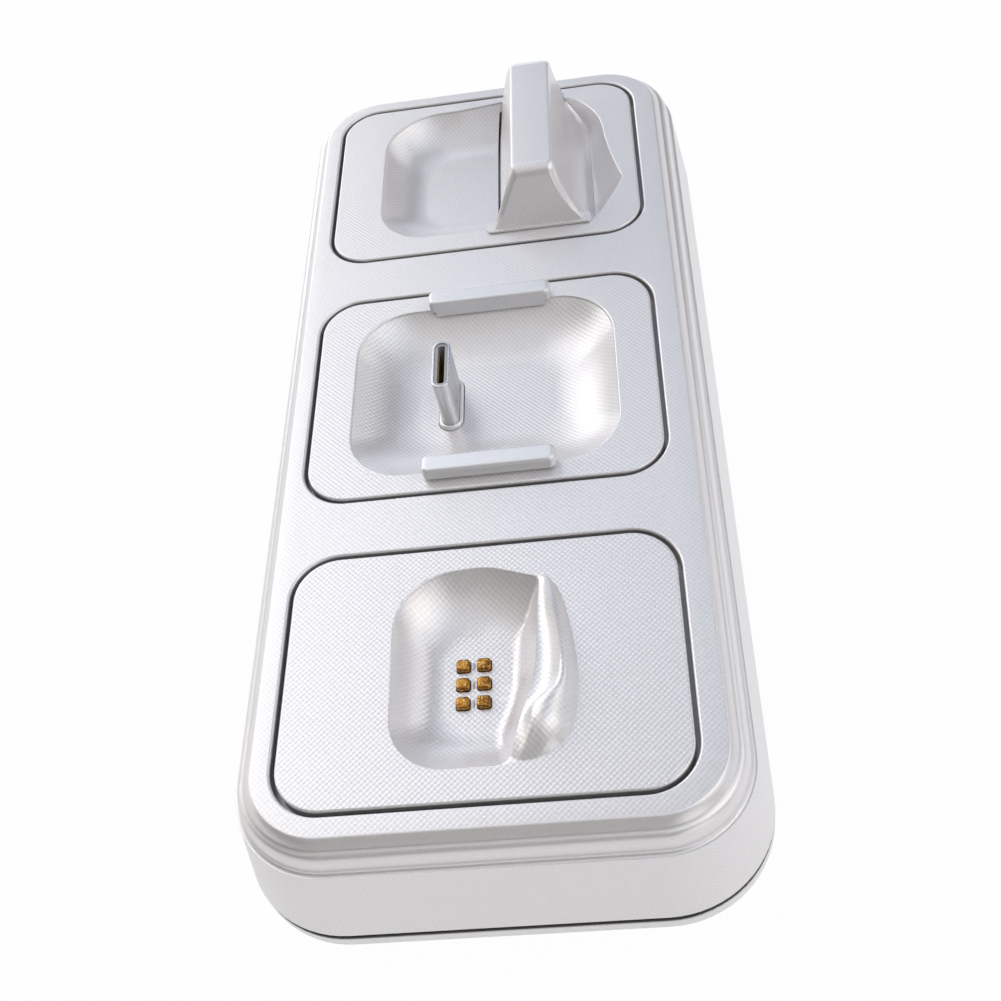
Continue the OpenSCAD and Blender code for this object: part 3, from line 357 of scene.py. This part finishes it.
@dataclass(frozen=True)
class Finish:
    """A finish with a plain surface and a slight unevenness.

    Attributes:
        name: Name of the material.
        colour: Its main colour.
        roughness: Its mean roughness.
        metallic: How far it is metal, from 0 to 1.
        unevenness: How much the roughness changes with the noise from 0 to 1.
        dark: Share of the colour that its darker places have.
        scale: Frequency of its main noise per metre.
        span: Noise values at which the colour starts and ends its change.
        relief: Strength of the bump.
        relief_height: Height in metres of the bump's value 1.
    """

    name: str
    colour: Colour
    roughness: float = 0.4
    metallic: float = 0.0
    unevenness: float = 0.06
    dark: float = 0.86
    scale: float = 900.0
    span: Span = (0.3, 0.7)
    relief: float = 0.15
    relief_height: float = 0.02 * MM

    def material(self) -> bpy.types.Material:
        """Builds the material, if it isn't there yet.

        Returns:
            The material of this finish.
        """
        found = bpy.data.materials.get(self.name)
        if found:
            return found
        material = bpy.data.materials.new(self.name)
        material.use_nodes = True
        tree = ShaderTree(material.node_tree)
        shader = tree.raw("ShaderNodeBsdfPrincipled", {}, {})
        tree.raw("ShaderNodeOutputMaterial", {}, {"Surface": Field(tree, shader.outputs[0])})
        shader.inputs["Metallic"].default_value = self.metallic
        self.dress(tree, shader)
        return material

    def dress(self, tree: ShaderTree, shader: bpy.types.Node) -> None:
        """Feeds the shader with a cloudy colour, roughness and relief.

        Args:
            tree: Tree that takes the nodes.
            shader: Principled shader of the material.
        """
        cloud = tree.noise(self.scale)
        colour = tree.blend(cloud.ramp(*self.span), self.tint(self.dark), self.colour)
        self.feed(tree, shader, colour, self.uneven(cloud), cloud)

    def feed(
        self, tree: ShaderTree, shader: bpy.types.Node, colour: Field, roughness: Field, height: Field
    ) -> None:
        """Links what changes over the surface to the shader.

        Args:
            tree: Tree that takes the nodes.
            shader: Principled shader of the material.
            colour: Colour of the surface.
            roughness: Roughness of the surface.
            height: Relief of the surface, 1 for one relief height.
        """
        tree.link(colour, shader, "Base Color")
        tree.link(roughness, shader, "Roughness")
        tree.link(tree.bump(height, self.relief, self.relief_height), shader, "Normal")

    def uneven(self, noise: Field) -> Field:
        """Returns the roughness, changed by a noise around 0.5."""
        return self.roughness + (noise - 0.5) * self.unevenness

    def tint(self, share: float) -> Colour:
        """Returns the colour, made lighter or darker by a factor."""
        red, green, blue = self.colour
        return share * red, share * green, share * blue


class Place(Enum):
    """Where a piece's colour is darkened by painted shade."""

    TRAY_EDGE = "tray_edge"
    BAY_WALL = "bay_wall"
    PARTING_LINE = "parting_line"
    NOWHERE = "nowhere"


@dataclass(frozen=True)
class PearlFinish(Finish):
    """Pearl-silver moulding with a fine diamond grain.

    Attributes:
        light: Share of the colour that its lighter places have.
        pitch: Distance in metres from one pip of the grain to the next.
        wall_grain: Share of the grain that an upright wall has.
        smooth: Lowest and highest point of each band without grain.
        grain_tone: Change of the tone from the grain.
        mottle_tone: Change of the tone from the fine noise.
        cloud_tone: Change of the tone from the wide noise.
        tone: Tone without any of them; 0 is dark and 1 is light.
        cloud_scale: Frequency of the wide noise per metre.
        grain_gloss: Change of the roughness from the grain.
        mottle_relief: Share of the fine noise in the relief.
        shade: Colour painted on as shade in a gap, in the crease or at the parting line.
        painted_shade_place: Where that painted shade lies.
        crease_shade: Share of that painted shade in the crease of the housing.
        wall_limit: Squared upward part of the normal up to which a face is a wall.
        soft: Width of the change at the outline of the bays.
        sharp: Width of the change at the end of a band.
        crisp: Width of the change at the ends of the crease's painted shade.
    """

    unevenness: float = 0.08
    dark: float = 0.93
    scale: float = 2600.0
    relief: float = 0.6
    relief_height: float = 0.018 * MM
    light: float = 1.05
    pitch: float = 0.5 * MM
    wall_grain: float = 0.35
    smooth: tuple[Span, ...] = ()
    grain_tone: float = 0.9
    mottle_tone: float = 0.9
    cloud_tone: float = 0.3
    tone: float = 0.35
    cloud_scale: float = 160.0
    grain_gloss: float = 0.04
    mottle_relief: float = 0.3
    # Painted shade: colour of the gaps' walls and the crease where they lie in shade.
    shade: Colour = (0.42, 0.415, 0.42)
    painted_shade_place: Place = Place.NOWHERE
    crease_shade: float = 0.35
    wall_limit: float = 0.02
    soft: float = 0.2 * MM
    sharp: float = 0.05 * MM
    crisp: float = 0.02 * MM

    def dress(self, tree: ShaderTree, shader: bpy.types.Node) -> None:
        """Feeds the pearl colour, the grain, its smooth bands and the painted shade.

        Args:
            tree: Tree that takes the nodes.
            shader: Principled shader of the material.
        """
        x, y, z = tree.place()
        side, front, up = tree.facing()
        flank = (self.pips(x, z) * front + self.pips(y, z) * side) * self.wall_grain
        pips = self.pips(x, y) * up + flank
        for low, high in self.smooth:
            pips = pips * (1 - z.between(low, high, self.sharp))
        cloud = tree.noise(self.cloud_scale, detail=3.0)
        mottle = tree.noise(self.scale)
        tone = cloud * self.cloud_tone + (mottle - 0.5) * self.mottle_tone
        tone = tone + pips * self.grain_tone + self.tone
        colour = tree.blend(tone, self.tint(self.dark), self.tint(self.light))
        # Painted shade: the colour darkens towards the shade colour in gaps, the crease and the parting
        # line.
        painted_shade_mask = self.painted_shade_mask(x, y, z, up)
        if painted_shade_mask is not None:
            colour = tree.blend(painted_shade_mask, colour, self.shade)
        roughness = self.uneven(mottle) - pips * self.grain_gloss
        self.feed(tree, shader, colour, roughness, pips + mottle * self.mottle_relief)

    def painted_shade_mask(self, x: Field, y: Field, z: Field, up: Field) -> Optional[Field]:
        """Returns 1 where painted shade darkens the colour: in a gap, the crease or the parting line.

        Args:
            x: Place across the dock.
            y: Place along the dock.
            z: Height above the desk.
            up: Squared upward part of the normal.

        Returns:
            The soft share of painted shade, or nothing where the piece has none.
        """
        if self.painted_shade_place is Place.NOWHERE:
            return None
        if self.painted_shade_place is Place.PARTING_LINE:
            return z.between(LEVELS.parting_foot, LEVELS.parting_top, self.sharp)
        below_rim = z.ramp(LEVELS.rim_lit, LEVELS.rim_shaded)
        if self.painted_shade_place is Place.TRAY_EDGE:
            return below_rim * up.ramp(self.wall_limit, 0.0)
        crease = z.between(LEVELS.crease_foot, LEVELS.crease_top, self.crisp)
        return (self.bays(x, y) * below_rim).at_least(crease * self.crease_shade)

    def bays(self, x: Field, y: Field) -> Field:
        """Returns 1 inside the outline that the three bays share, without its corners.

        Args:
            x: Place across the dock.
            y: Place along the dock.

        Returns:
            The soft outline.
        """
        across, along = (x - LEVELS.bays_x).size(), (y - LEVELS.bays_y).size()
        corner = LEVELS.bays_half_w + LEVELS.bays_half_l - LEVELS.bays_corner
        inside = across.ramp(LEVELS.bays_half_w, LEVELS.bays_half_w - self.soft)
        inside = inside * along.ramp(LEVELS.bays_half_l, LEVELS.bays_half_l - self.soft)
        return inside * (across + along).ramp(corner, corner - self.soft)

    def pips(self, u: Field, v: Field) -> Field:
        """Returns a diagonal lattice of pips on the plane of two coordinates.

        Args:
            u: First coordinate in metres.
            v: Second coordinate in metres.

        Returns:
            A height between -1 and 1.
        """
        turn = math.pi * math.sqrt(2) / self.pitch
        return (u * turn).sine() * (v * turn).sine()


@dataclass(frozen=True)
class PatinaFinish(Finish):
    """Worn gilt metal with brown patches, and painted glints in small random spots.

    Attributes:
        worn: Colour of the worn patches.
        painted_glint: Colour of the painted glints.
        glint_scale: Frequency of the painted glints per metre.
        glint_span: Noise values at which a painted glint starts and is full.
        glint_relief: Share of the glints' noise in the relief.
    """

    unevenness: float = 0.3
    scale: float = 1400.0
    span: Span = (0.38, 0.6)
    relief: float = 0.5
    relief_height: float = 0.03 * MM
    worn: Colour = (0.24, 0.09, 0.015)
    painted_glint: Colour = (0.95, 0.72, 0.32)
    glint_scale: float = 5200.0
    glint_span: Span = (0.55, 0.72)
    glint_relief: float = 0.4

    def dress(self, tree: ShaderTree, shader: bpy.types.Node) -> None:
        """Feeds the patches of the gilt and its painted glints.

        Args:
            tree: Tree that takes the nodes.
            shader: Principled shader of the material.
        """
        patch = tree.noise(self.scale, detail=3.0)
        glint = tree.noise(self.glint_scale)
        ground = tree.blend(patch.ramp(*self.span), self.worn, self.colour)
        # Painted glints: small random spots of light gold stand in for highlights.
        colour = tree.blend(glint.ramp(*self.glint_span), ground, self.painted_glint)
        self.feed(tree, shader, colour, self.uneven(patch), patch + glint * self.glint_relief)


@dataclass(frozen=True)
class BrushedFinish(Finish):
    """Metal with fine drawn lines along one axis.

    Attributes:
        stretch: Scale of the noise on each axis, small along the lines.
    """

    unevenness: float = 0.2
    dark: float = 0.8
    scale: float = 5200.0
    span: Span = (0.35, 0.65)
    relief: float = 0.25
    relief_height: float = 0.01 * MM
    stretch: Triple = (1.0, 1.0, 0.04)

    def dress(self, tree: ShaderTree, shader: bpy.types.Node) -> None:
        """Feeds the drawn lines.

        Args:
            tree: Tree that takes the nodes.
            shader: Principled shader of the material.
        """
        lines = tree.noise(self.scale, stretch=self.stretch)
        colour = tree.blend(lines.ramp(*self.span), self.tint(self.dark), self.colour)
        self.feed(tree, shader, colour, self.uneven(lines), lines)


# Painted shade darkens the housing's bay walls and crease, the trays' edges and the base at its parting
# line.
PEARL = {"colour": (0.81, 0.79, 0.805), "roughness": 0.35, "metallic": 0.5}
HOUSING_PEARL = PearlFinish(
    name="housing_pearl",
    smooth=((LEVELS.smooth_foot, LEVELS.smooth_top),),
    painted_shade_place=Place.BAY_WALL,
    **PEARL,
)
BASE_PEARL = PearlFinish(
    name="base_pearl",
    painted_shade_place=Place.PARTING_LINE,
    # Painted shade at the parting line, nearly black.
    shade=(0.1, 0.1, 0.103),
    **PEARL,
)
TRAY_PEARL = PearlFinish(name="tray_pearl", painted_shade_place=Place.TRAY_EDGE, **PEARL)
SADDLE_PEARL = PearlFinish(name="saddle_pearl", **PEARL)
BAR_PEARL = PearlFinish(
    name="bar_pearl",
    colour=(0.8, 0.8, 0.82),
    roughness=0.34,
    metallic=0.5,
    relief_height=0.004 * MM,
    grain_tone=0.15,
)
GILT = PatinaFinish(name="contact_gilt", colour=(0.45, 0.22, 0.04), roughness=0.24, metallic=1.0)
STRIP_GILT = Finish(name="strip_gilt", colour=(0.83, 0.6, 0.24), roughness=0.28, metallic=1.0)
PLUG_METAL = BrushedFinish(name="plug_metal", colour=(0.7, 0.7, 0.72), roughness=0.26, metallic=1.0)
SCREW_METAL = BrushedFinish(name="screw_metal", colour=(0.55, 0.55, 0.57), roughness=0.35, metallic=1.0)
SPRING_METAL = Finish(name="spring_metal", colour=(0.6, 0.6, 0.62), roughness=0.3, metallic=1.0)
CORE_GREY = Finish(name="core_grey", colour=(0.42, 0.42, 0.44), roughness=0.35)
BLACK_MOULDING = Finish(name="black_moulding", colour=(0.035, 0.035, 0.038), roughness=0.45)
BOARD_RESIST = Finish(name="board_resist", colour=(0.03, 0.16, 0.07), roughness=0.3, scale=500.0)
COIL_COPPER = BrushedFinish(
    name="coil_copper",
    colour=(0.72, 0.36, 0.2),
    roughness=0.35,
    metallic=1.0,
    stretch=EVEN,
)
FERRITE = Finish(name="ferrite_grey", colour=(0.1, 0.1, 0.105), roughness=0.6)
CHIP_BLACK = Finish(name="chip_black", colour=(0.05, 0.05, 0.055), roughness=0.5)
CHIP_TAN = Finish(name="chip_tan", colour=(0.5, 0.38, 0.24), roughness=0.5)
SOCKET_IVORY = Finish(name="socket_ivory", colour=(0.75, 0.72, 0.63), roughness=0.5)
LEAD_FILM = Finish(name="lead_film", colour=(0.6, 0.3, 0.08), roughness=0.35)
FOOT_RUBBER = Finish(name="foot_rubber", colour=(0.05, 0.05, 0.052), roughness=0.75, unevenness=0.12)
RIB_GREY = Finish(name="rib_grey", colour=(0.6, 0.6, 0.63), roughness=0.45)


class Bench:
    """Modelling steps in the way of the editor's own operators.

    Attributes:
        FLAT_WEIGHT: How much large faces hold the shading flat, from 1 to 100.
        MERGE: Distance below which two corners are one.
        BEVEL_SEGMENTS: Faces across a rounded edge.
        BAR_SHARP: Angle in degrees from which a bar's edge stays sharp.
    """

    FLAT_WEIGHT = 60
    MERGE = 0.001 * MM
    BEVEL_SEGMENTS = 3
    BAR_SHARP = 40.0

    @staticmethod
    def only(piece: bpy.types.Object) -> None:
        """Selects one object and makes it active.

        Args:
            piece: Object to work on.
        """
        bpy.ops.object.select_all(action="DESELECT")
        piece.select_set(True)
        bpy.context.view_layer.objects.active = piece

    @classmethod
    def smoothed(cls, piece: bpy.types.Object, angle: float) -> None:
        """Shades an object smooth up to an angle and keeps its flats flat.

        Args:
            piece: Object to shade.
            angle: Angle in degrees from which an edge stays sharp.
        """
        cls.only(piece)
        bpy.ops.object.shade_smooth_by_angle(angle=math.radians(angle))
        weigh = piece.modifiers.new("weighted", "WEIGHTED_NORMAL")
        weigh.keep_sharp = True
        weigh.weight = cls.FLAT_WEIGHT
        bpy.ops.object.modifier_apply(modifier=weigh.name)

    @classmethod
    def welded(cls, node: bpy.types.Object, name: str, angle: float) -> bpy.types.Object:
        """Copies a node, merges its loose triangles and shades it smooth.

        Args:
            node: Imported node.
            name: Name of the copy.
            angle: Angle in degrees from which an edge stays sharp.

        Returns:
            The copy, in place and on no body yet.
        """
        copy = bpy.data.objects.new(name, node.data.copy())
        bpy.context.scene.collection.objects.link(copy)
        cls.only(copy)
        if copy.data.has_custom_normals:
            bpy.ops.mesh.customdata_custom_splitnormals_clear()
        bpy.ops.object.mode_set(mode="EDIT")
        bpy.ops.mesh.select_all(action="SELECT")
        bpy.ops.mesh.remove_doubles(threshold=cls.MERGE)
        bpy.ops.mesh.select_all(action="DESELECT")
        bpy.ops.object.mode_set(mode="OBJECT")
        cls.smoothed(copy, angle)
        return copy

    @classmethod
    def bar(cls, name: str, centre: Vector, size: Vector, rounding: float) -> bpy.types.Object:
        """Models a small bar with rounded edges.

        Args:
            name: Name of the bar.
            centre: Middle of the bar.
            size: Its three sizes.
            rounding: Radius of its edges.

        Returns:
            The bar, with its place in its mesh.
        """
        bpy.ops.object.select_all(action="DESELECT")
        bpy.ops.mesh.primitive_cube_add(size=1.0, location=centre, scale=size)
        piece = bpy.context.object
        piece.name = name
        bpy.ops.object.transform_apply(location=True, rotation=True, scale=True)
        bpy.ops.object.mode_set(mode="EDIT")
        bpy.ops.mesh.select_all(action="SELECT")
        bpy.ops.mesh.bevel(offset=rounding, segments=cls.BEVEL_SEGMENTS)
        bpy.ops.object.mode_set(mode="OBJECT")
        cls.smoothed(piece, cls.BAR_SHARP)
        return piece


def dress(piece: bpy.types.Object, finish: Finish) -> None:
    """Gives every slot of an object one finish.

    Args:
        piece: Object to dress.
        finish: Its finish.
    """
    material = finish.material()
    if not piece.material_slots:
        piece.data.materials.append(material)
    for slot in piece.material_slots:
        slot.material = material


@dataclass
class SubAssembly:
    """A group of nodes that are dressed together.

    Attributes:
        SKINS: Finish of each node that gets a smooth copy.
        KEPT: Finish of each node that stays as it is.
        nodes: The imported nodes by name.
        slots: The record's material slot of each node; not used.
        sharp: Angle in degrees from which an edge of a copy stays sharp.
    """

    SKINS = {}
    KEPT = {}

    nodes: dict[str, bpy.types.Object]
    slots: dict[str, str]
    sharp: float = 32.0

    def build(self) -> None:
        """Makes the smooth copies and dresses the nodes that stay."""
        for node, finish in self.SKINS.items():
            self.skin(node, finish)
        for node, finish in self.KEPT.items():
            self.keep(node, finish)

    def skin(self, node: str, finish: Finish, body: str = Body.DOCK.value) -> bpy.types.Object:
        """Replaces a node by its welded and smooth copy.

        Args:
            node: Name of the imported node.
            finish: Finish of the copy.
            body: Body that the copy rides on.

        Returns:
            The copy.
        """
        piece = Bench.welded(self.nodes[node], node + "_skin", self.sharp)
        dress(piece, finish)
        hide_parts(node)
        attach(piece, body)
        LOG.info("%s: %d faces", piece.name, len(piece.data.polygons))
        return piece

    def keep(self, node: str, finish: Finish) -> None:
        """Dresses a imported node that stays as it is.

        Args:
            node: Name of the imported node.
            finish: Its finish.
        """
        dress(self.nodes[node], finish)
        LOG.info("%s dressed", node)


@dataclass
class Housing(SubAssembly):
    """Upper housing, base, its screws and the feet."""

    SKINS = {
        "upper_housing": HOUSING_PEARL,
        "base_plate": BASE_PEARL,
        "rubber_feet": FOOT_RUBBER,
    }
    KEPT = {"base_screws": SCREW_METAL}


@dataclass
class Trays(SubAssembly):
    """The three trays, the saddle, the retaining bars and the plug's collar."""

    SKINS = {
        "front_tray": TRAY_PEARL,
        "middle_tray": TRAY_PEARL,
        "rear_tray": TRAY_PEARL,
        "rear_saddle": SADDLE_PEARL,
        "far_retainer": BAR_PEARL,
        "near_retainer": BAR_PEARL,
        "plug_boot": BAR_PEARL,
    }


@dataclass
class Contacts(SubAssembly):
    """The six sprung contacts, what holds them and the ribs between them.

    Attributes:
        count: Number of contacts.
        travel: How far a contact goes down; not used.
        rib: Three sizes of a rib.
        rib_rounding: Radius of its edges.
        sink: How far its foot is let into the pocket's floor.
    """

    KEPT = {
        "contact_barrels": STRIP_GILT,
        "contact_carrier": BLACK_MOULDING,
        "contact_board": BOARD_RESIST,
        "contact_lead": LEAD_FILM,
    }

    count: int = 6
    travel: float = 0.5 * MM
    rib: Triple = (0.22 * MM, 0.9 * MM, 0.16 * MM)
    rib_rounding: float = 0.05 * MM
    sink: float = 0.05 * MM

    def build(self) -> None:
        """Builds the pins and springs, and then the ribs."""
        for number in range(1, self.count + 1):
            self.skin(f"contact_pin_{number}", GILT, f"{Body.CONTACT.value}{number}")
            self.spring(number)
        super().build()
        self.ribs()

    def spring(self, number: int) -> None:
        """Builds the spring of a contact as a smooth copy with a mesh of its own.

        Args:
            number: Number of the contact, from 1.
        """
        node = f"contact_spring_{number}"
        piece = self.skin(node, SPRING_METAL)
        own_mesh(piece)

    def ribs(self) -> None:
        """Models a low rib between the two contacts of each row."""
        size = Vector(self.rib)
        for row in range(self.count // 2):
            centre = (self.middle(2 * row + 1) + self.middle(2 * row + 2)) / 2
            centre.z = LEVELS.pocket_floor + size.z / 2 - self.sink
            piece = Bench.bar(f"contact_rib_{row + 1}", centre, size, self.rib_rounding)
            dress(piece, RIB_GREY)
            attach(piece, Body.DOCK.value)
            LOG.info("%s modelled", piece.name)

    def middle(self, number: int) -> Vector:
        """Returns the middle of a contact's box.

        Args:
            number: Number of the contact, from 1.

        Returns:
            The middle of its box.
        """
        low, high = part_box(f"contact_pin_{number}")
        return (low + high) / 2


@dataclass
class Plug(SubAssembly):
    """The upright plug of the middle bay, with its board and lead."""

    SKINS = {"plug_shell": PLUG_METAL}
    KEPT = {
        "plug_core": CORE_GREY,
        "plug_contacts": STRIP_GILT,
        "plug_board": BOARD_RESIST,
        "plug_lead": LEAD_FILM,
    }


@dataclass
class Electronics(SubAssembly):
    """Main board, coil, their screws and leads, and the power inlet."""

    SKINS = {"inlet_shell": PLUG_METAL}
    KEPT = {
        "main_board": BOARD_RESIST,
        "charge_coil": COIL_COPPER,
        "coil_shield": FERRITE,
        "coil_lead": LEAD_FILM,
        "power_chips": CHIP_BLACK,
        "inductor": FERRITE,
        "capacitors": CHIP_TAN,
        "lead_sockets": SOCKET_IVORY,
        "board_screws": SCREW_METAL,
        "tray_screws": SCREW_METAL,
        "inlet_tongue": BLACK_MOULDING,
    }


@dataclass(frozen=True)
class Softbox:
    """A wide soft lamp far away from the dock.

    Attributes:
        name: Name of the lamp.
        azimuth: Its direction in degrees; 0 is behind the dock and 90 on its right.
        height: Its height in degrees above the desk.
        strength: Its strength as a sun lamp.
        tint: Its colour.
    """

    name: str
    azimuth: float
    height: float
    strength: float
    tint: Colour = WHITE

    def direction(self) -> Vector:
        """Returns the direction from the dock to the lamp."""
        turn, rise = math.radians(self.azimuth), math.radians(self.height)
        level = math.cos(rise)
        return Vector((math.sin(turn) * level, math.cos(turn) * level, math.sin(rise)))


WARM: Colour = (1.08, 1.02, 0.9)
COOL: Colour = (0.86, 0.97, 1.17)
SOFTBOXES = (
    Softbox("window_left", 330.0, 8.0, 0.6),
    Softbox("window_rear", 0.0, 8.0, 0.3, COOL),
    Softbox("low_left", 285.0, 8.0, 0.25, WARM),
    Softbox("low_right", 95.0, 8.0, 0.12, COOL),
    Softbox("low_front_right", 145.0, 8.0, 0.35),
    Softbox("bank_rear_left", 330.0, 30.0, 0.3),
    Softbox("bank_left", 300.0, 30.0, 0.45),
    Softbox("bank_front_left", 270.0, 30.0, 0.15, WARM),
    Softbox("bank_rear_right", 57.0, 30.0, 0.3),
    Softbox("bank_right", 85.0, 30.0, 0.18),
    Softbox("bank_front_right", 110.0, 34.0, 0.36, WARM),
    Softbox("bank_front", 188.0, 28.0, 0.08, WARM),
    Softbox("top_left", 315.0, 52.0, 0.4),
    Softbox("top_rear", 0.0, 52.0, 0.2, COOL),
    Softbox("top_right", 90.0, 52.0, 0.22),
    Softbox("top_front_right", 135.0, 52.0, 0.35),
    Softbox("top_front_left", 225.0, 52.0, 0.1, WARM),
    Softbox("ceiling_right", 90.0, 72.0, 0.2, COOL),
    Softbox("ceiling_left", 288.0, 72.0, 0.22),
    Softbox("ceiling_front", 185.0, 70.0, 0.15),
)


class Ray(Enum):
    """Kinds of ray that the floor and the backdrop tell apart."""

    CAMERA = "Is Camera Ray"
    GLOSSY = "Is Glossy Ray"
    TRANSMISSION = "Is Transmission Ray"

    def field(self, tree: ShaderTree) -> Field:
        """Returns 1 for rays of this kind and 0 for others."""
        return tree.node("ShaderNodeLightPath", {}, {}, self.value)


@dataclass
class Studio:
    """Floor, lamps, surroundings and camera.

    Attributes:
        lens: Focal length in millimetres.
        sensor: Width in millimetres of the picture behind it.
        near: Nearest distance that the camera sees.
        far: Farthest distance that it sees.
        camera_place: Where the camera is.
        camera_right: Direction towards the picture's right.
        camera_down: Direction towards its lower edge.
        camera_forward: Direction of the view.
        lamp_width: Angle in degrees that a lamp takes up.
        backdrop_full: Rise of a ray up to which the backdrop is white.
        backdrop_top: Rise at which it ends.
        floor_size: Length of the floor's sides.
        floor_white: How white the floor shows to the camera and in reflections.
        floor_matt: Colour of the floor under it, which takes the shadow.
    """

    lens: float = 47.008
    sensor: float = 36.0
    near: float = 0.005
    far: float = 20.0
    camera_place: Triple = (21.3377 * MM, -120.1071 * MM, 146.0772 * MM)
    camera_right: Triple = (0.98798682, -0.00182137, -0.15452742)
    camera_down: Triple = (-0.09616159, -0.79000875, -0.60550733)
    camera_forward: Triple = (-0.12097517, 0.61309286, -0.78069338)
    lamp_width: float = 33.0
    backdrop_full: float = 0.03
    backdrop_top: float = 0.06
    floor_size: float = 6.0
    floor_white: float = 0.97
    floor_matt: Colour = (0.86, 0.86, 0.88)

    def build(self) -> None:
        """Sets up the view, the light and the floor."""
        bpy.context.scene.view_settings.view_transform = "Standard"
        self.camera()
        self.surroundings()
        self.floor()
        for softbox in SOFTBOXES:
            self.lamp(softbox)

    def camera(self) -> None:
        """Places the camera at the photograph's viewpoint."""
        data = bpy.data.cameras.new("camera")
        data.lens = self.lens
        data.sensor_width = self.sensor
        data.clip_start = self.near
        data.clip_end = self.far
        camera = bpy.data.objects.new("camera", data)
        bpy.context.scene.collection.objects.link(camera)
        down, forward = Vector(self.camera_down), Vector(self.camera_forward)
        turn = Matrix((self.camera_right, -down, -forward)).transposed().to_4x4()
        camera.matrix_world = Matrix.Translation(self.camera_place) @ turn
        bpy.context.scene.camera = camera

    def lamp(self, softbox: Softbox) -> None:
        """Adds one of the wide soft lamps.

        Args:
            softbox: Its name, direction, strength and tint.
        """
        data = bpy.data.lights.new(softbox.name, "SUN")
        data.angle = math.radians(self.lamp_width)
        data.energy = softbox.strength
        data.color = softbox.tint
        lamp = bpy.data.objects.new(softbox.name, data)
        bpy.context.scene.collection.objects.link(lamp)
        lamp.matrix_world = softbox.direction().to_track_quat("Z", "Y").to_matrix().to_4x4()

    def surroundings(self) -> None:
        """Builds the dark studio with a white backdrop that stands low all round."""
        world = bpy.data.worlds.new("studio")
        bpy.context.scene.world = world
        world.use_nodes = True
        tree = ShaderTree(world.node_tree)
        rise = tree.split(tree.node("ShaderNodeTexCoord", {}, {}, "Generated"))[2]
        mirrored = Ray.GLOSSY.field(tree) + Ray.TRANSMISSION.field(tree)
        backdrop = mirrored * rise.ramp(self.backdrop_top, self.backdrop_full)
        seen = Ray.CAMERA.field(tree).at_least(backdrop)
        sky = tree.node("ShaderNodeBackground", {}, {"Color": WHITE, "Strength": seen})
        tree.raw("ShaderNodeOutputWorld", {}, {"Surface": sky})

    def floor(self) -> None:
        """Adds the pale floor, which shows white and keeps the dock's shadow."""
        bpy.ops.object.select_all(action="DESELECT")
        bpy.ops.mesh.primitive_plane_add(size=self.floor_size, location=(0.0, 0.0, 0.0))
        floor = bpy.context.object
        floor.name = "floor"
        material = bpy.data.materials.new("floor_white")
        material.use_nodes = True
        tree = ShaderTree(material.node_tree)
        seen = Ray.CAMERA.field(tree)
        for kind in (Ray.GLOSSY, Ray.TRANSMISSION):
            seen = seen.at_least(kind.field(tree))
        matt = tree.node("ShaderNodeBsdfDiffuse", {}, {"Color": self.floor_matt})
        glow = tree.node("ShaderNodeEmission", {}, {"Color": WHITE, "Strength": 1.0})
        mixed = tree.node("ShaderNodeMixShader", {}, {0: seen * self.floor_white, 1: matt, 2: glow})
        tree.raw("ShaderNodeOutputMaterial", {}, {"Surface": mixed})
        floor.data.materials.append(material)


def main() -> None:
    """Builds the dock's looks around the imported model."""
    logging.basicConfig(level=logging.INFO, format="%(name)s: %(message)s")
    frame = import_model()
    bpy.ops.object.select_all(action="DESELECT")
    slots = {part["node"]: part["material_slot"] for part in frame["record"]["subparts"]}
    Studio().build()
    for group in (Housing, Trays, Contacts, Plug, Electronics):
        group(frame["nodes"], slots).build()
    bpy.context.view_layer.update()


if __name__ == "__main__":
    main()
